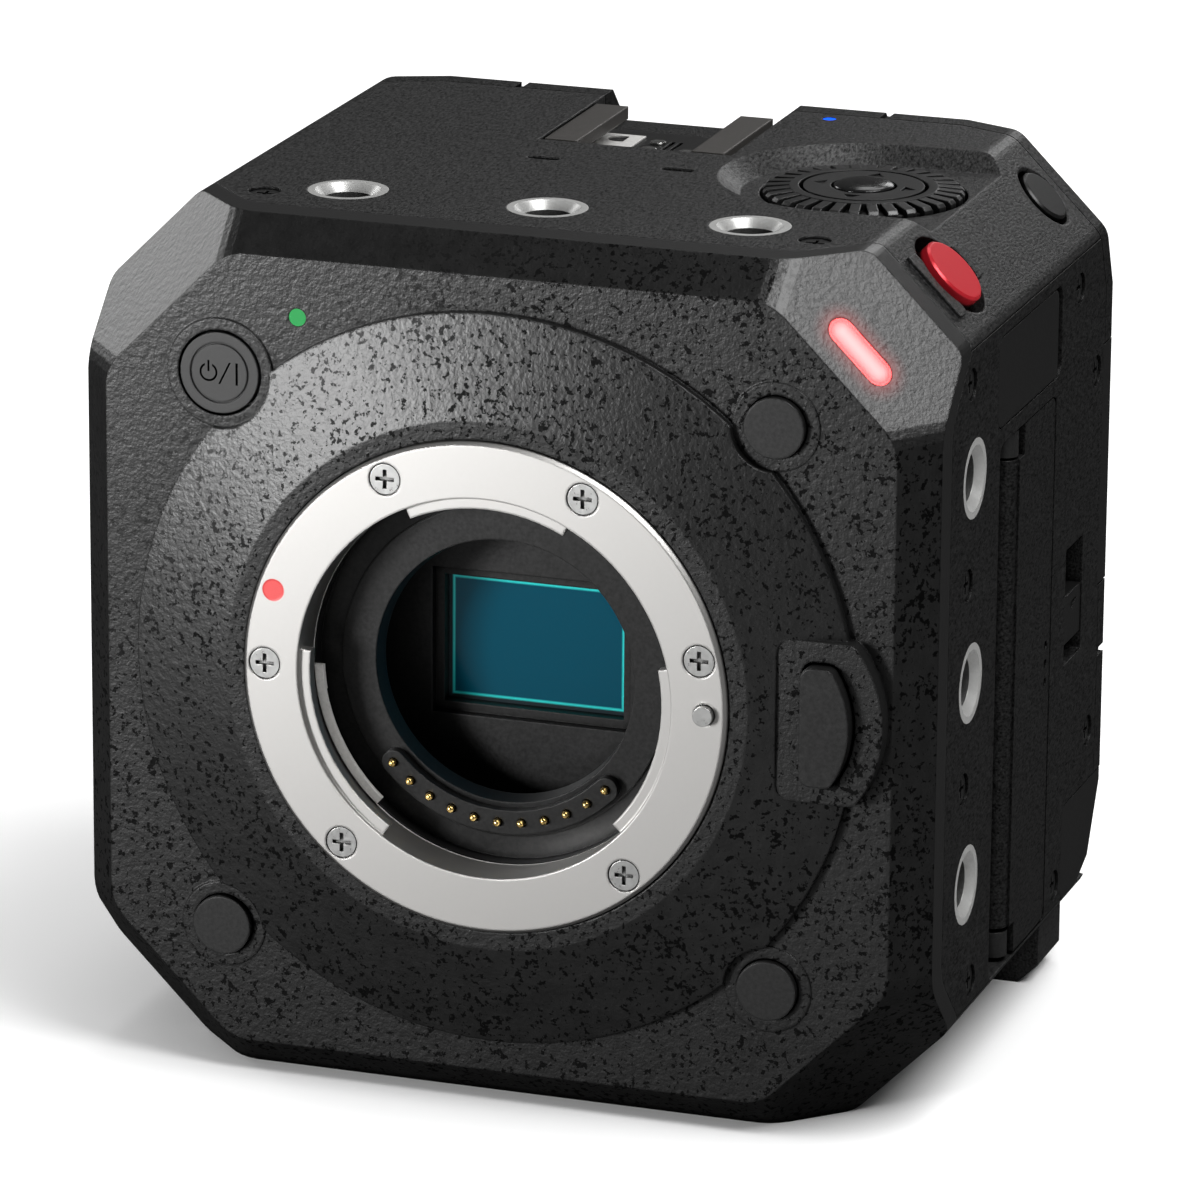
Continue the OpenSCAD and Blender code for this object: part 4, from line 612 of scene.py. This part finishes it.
# Thread inserts: a wide gap distance paints shade deep in their bores
insertLook = {
    "color": (0.52, 0.52, 0.51), "roughness": 0.34, "metallic": 0.45, "strength": 0.0, "spread": 0.03,
    "edge": 0.0001, "gap": 0.008, "gapRange": (0.5, 0.78),
}


def slotName(slot):
    first, second = slot.split("_")
    return first + second.capitalize()


looks = {slot: satin(slotName(slot), look) for slot, look in satinLooks.items()}
looks["front_paint"] = frontPaint(frontLook, grainShadeLook, haloLook)
looks["mount_steel"] = mountSteel(ringLook)
looks["red_metal"] = recordMetal(recordLook)
looks["red_lens"] = lampLens("redLens", "tally_lamp", tallyLook)
looks["green_lens"] = lampLens("greenLens", "power_lamp", powerLampLook)
looks["blue_lens"] = lampLens("blueLens", "network_lamp", networkLampLook)
looks["filter_glass"] = filterGlass(glassLook)

# Pieces with a finish of their own
ownLooks = {
    "power_button": powerFace(powerLook),
    "control_dial": satin("dialPlastic", dialLook),
    "cursor_pad": satin("padPlastic", padLook),
    "menu_button": satin("domePlastic", menuLook),
    "thread_inserts": satin("insertSteel", insertLook),
    "shoe_spring": looks["spring_steel"],
    "shoe_rails": looks["rail_steel"],
    "shoe_contacts": looks["plated_metal"],
}

slots = {part["node"]: part["material_slot"] for part in frame["record"]["subparts"]}
for name, piece in nodes.items():
    look = ownLooks.get(name) or looks[slots[name]]
    if not piece.data.materials:
        piece.data.materials.append(look)
    for index in range(len(piece.data.materials)):
        piece.data.materials[index] = look
print("materials set")

# Floor: pale to the camera with a painted contact shadow, and in reflections a painted lit card before the
# object
floorLook = {
    "side": 4.0,
    "tone": 0.9,
    "roughness": 0.9,
    "lift": 0.42,  # own light that the camera sees near the object
    "far": 0.6,  # the same at a distance from it
    "farRange": (0.12, 0.7),
    "card": 0.2,
    "flag": 0.05,  # what reflections show of the floor behind the card
    "cardEdge": -0.085,
    "cardSoft": 0.05,
    "cardPower": 0.05,
    "contact": 0.09,
    "contactRange": (0.3, 1.0),
}
skyLook = {"ambient": 0.09, "reflected": 0.06, "seen": 1.0}


def makeFloor(look):
    half = look["side"] / 2.0
    corners = [(-half, -half, 0), (half, -half, 0), (half, half, 0), (-half, half, 0)]
    mesh = bpy.data.meshes.new("floor")
    mesh.from_pydata(corners, [], [(0, 1, 2, 3)])
    floor = bpy.data.objects.new("floor", mesh)
    scene.collection.objects.link(floor)
    shade = Shade("floorPaint")
    rays = shade.node("ShaderNodeLightPath")
    depth = shade.vector("DOT_PRODUCT", shade.spot, (0.0, 1.0, 0.0))
    edge, soft = look["cardEdge"], look["cardSoft"]
    # Painted reflection: glossy rays see a lit, faintly glowing card before the object and a dark floor
    # behind it
    card = shade.span(depth, edge + soft, edge, look["flag"], look["card"])
    seen = shade.mix(rays.outputs["Is Glossy Ray"], grey(look["tone"]), card)
    shade.base(seen, look["roughness"], Specular_IOR_Level=0.0)
    reach = shade.vector("DISTANCE", shade.spot, (0.0, 0.0, 0.0))
    lift = shade.span(reach, *look["farRange"], look["lift"], look["far"])
    lift = shade.math("MULTIPLY", rays.outputs["Is Camera Ray"], lift)
    # Painted contact shadow: the floor's own light fades near the object by ambient occlusion
    lift = shade.math("MULTIPLY", lift, shade.open(look["contact"], *look["contactRange"]))
    shine = shade.math("MULTIPLY", card, look["cardPower"])
    shine = shade.math("MULTIPLY", rays.outputs["Is Glossy Ray"], shine)
    shade.glow(grey(1.0), shade.math("ADD", lift, shine))
    mesh.materials.append(shade.material)


def makeSky(look):
    world = bpy.data.worlds.new("sky")
    world.use_nodes = True
    sky = Wiring(world.node_tree)
    rays = sky.node("ShaderNodeLightPath")
    tone = sky.mix(rays.outputs["Is Glossy Ray"], grey(look["ambient"]), grey(look["reflected"]))
    tone = sky.mix(rays.outputs["Is Camera Ray"], tone, grey(look["seen"]))
    sky.put(sky.tree.nodes["Background"].inputs["Color"], tone)
    scene.world = world


makeFloor(floorLook)
makeSky(skyLook)

lamps = {
    "keyLight": {"place": (-0.26, -0.42, 0.10), "aim": (0.0, 0.0, 0.06), "size": 0.12, "power": 2.1},
    "topLight": {"place": (0.35, -0.12, 0.66), "aim": (0.0, 0.0, 0.08), "size": 0.42, "power": 5.6},
    "leftLight": {"place": (-0.58, 0.25, 0.28), "aim": (0.0, 0.0, 0.08), "size": 0.24, "power": 0.9},
    "rearLight": {"place": (0.0, 0.62, 0.95), "aim": (0.0, 0.0, 0.05), "size": 0.5, "power": 1.8},
    "backLight": {"place": (0.05, 0.85, 0.40), "aim": (0.0, 0.0, 0.09), "size": 0.3, "power": 0.8},
}


def makeLamp(name, look):
    data = bpy.data.lights.new(name, "AREA")
    data.energy = look["power"]
    data.size = look["size"]
    lamp = bpy.data.objects.new(name, data)
    lamp.location = look["place"]
    toward = Vector(look["aim"]) - Vector(look["place"])
    lamp.rotation_mode = "QUATERNION"
    lamp.rotation_quaternion = toward.to_track_quat("-Z", "Y")
    scene.collection.objects.link(lamp)


for name, look in lamps.items():
    makeLamp(name, look)
scene.view_settings.view_transform = "Standard"
print("stage and lights set")
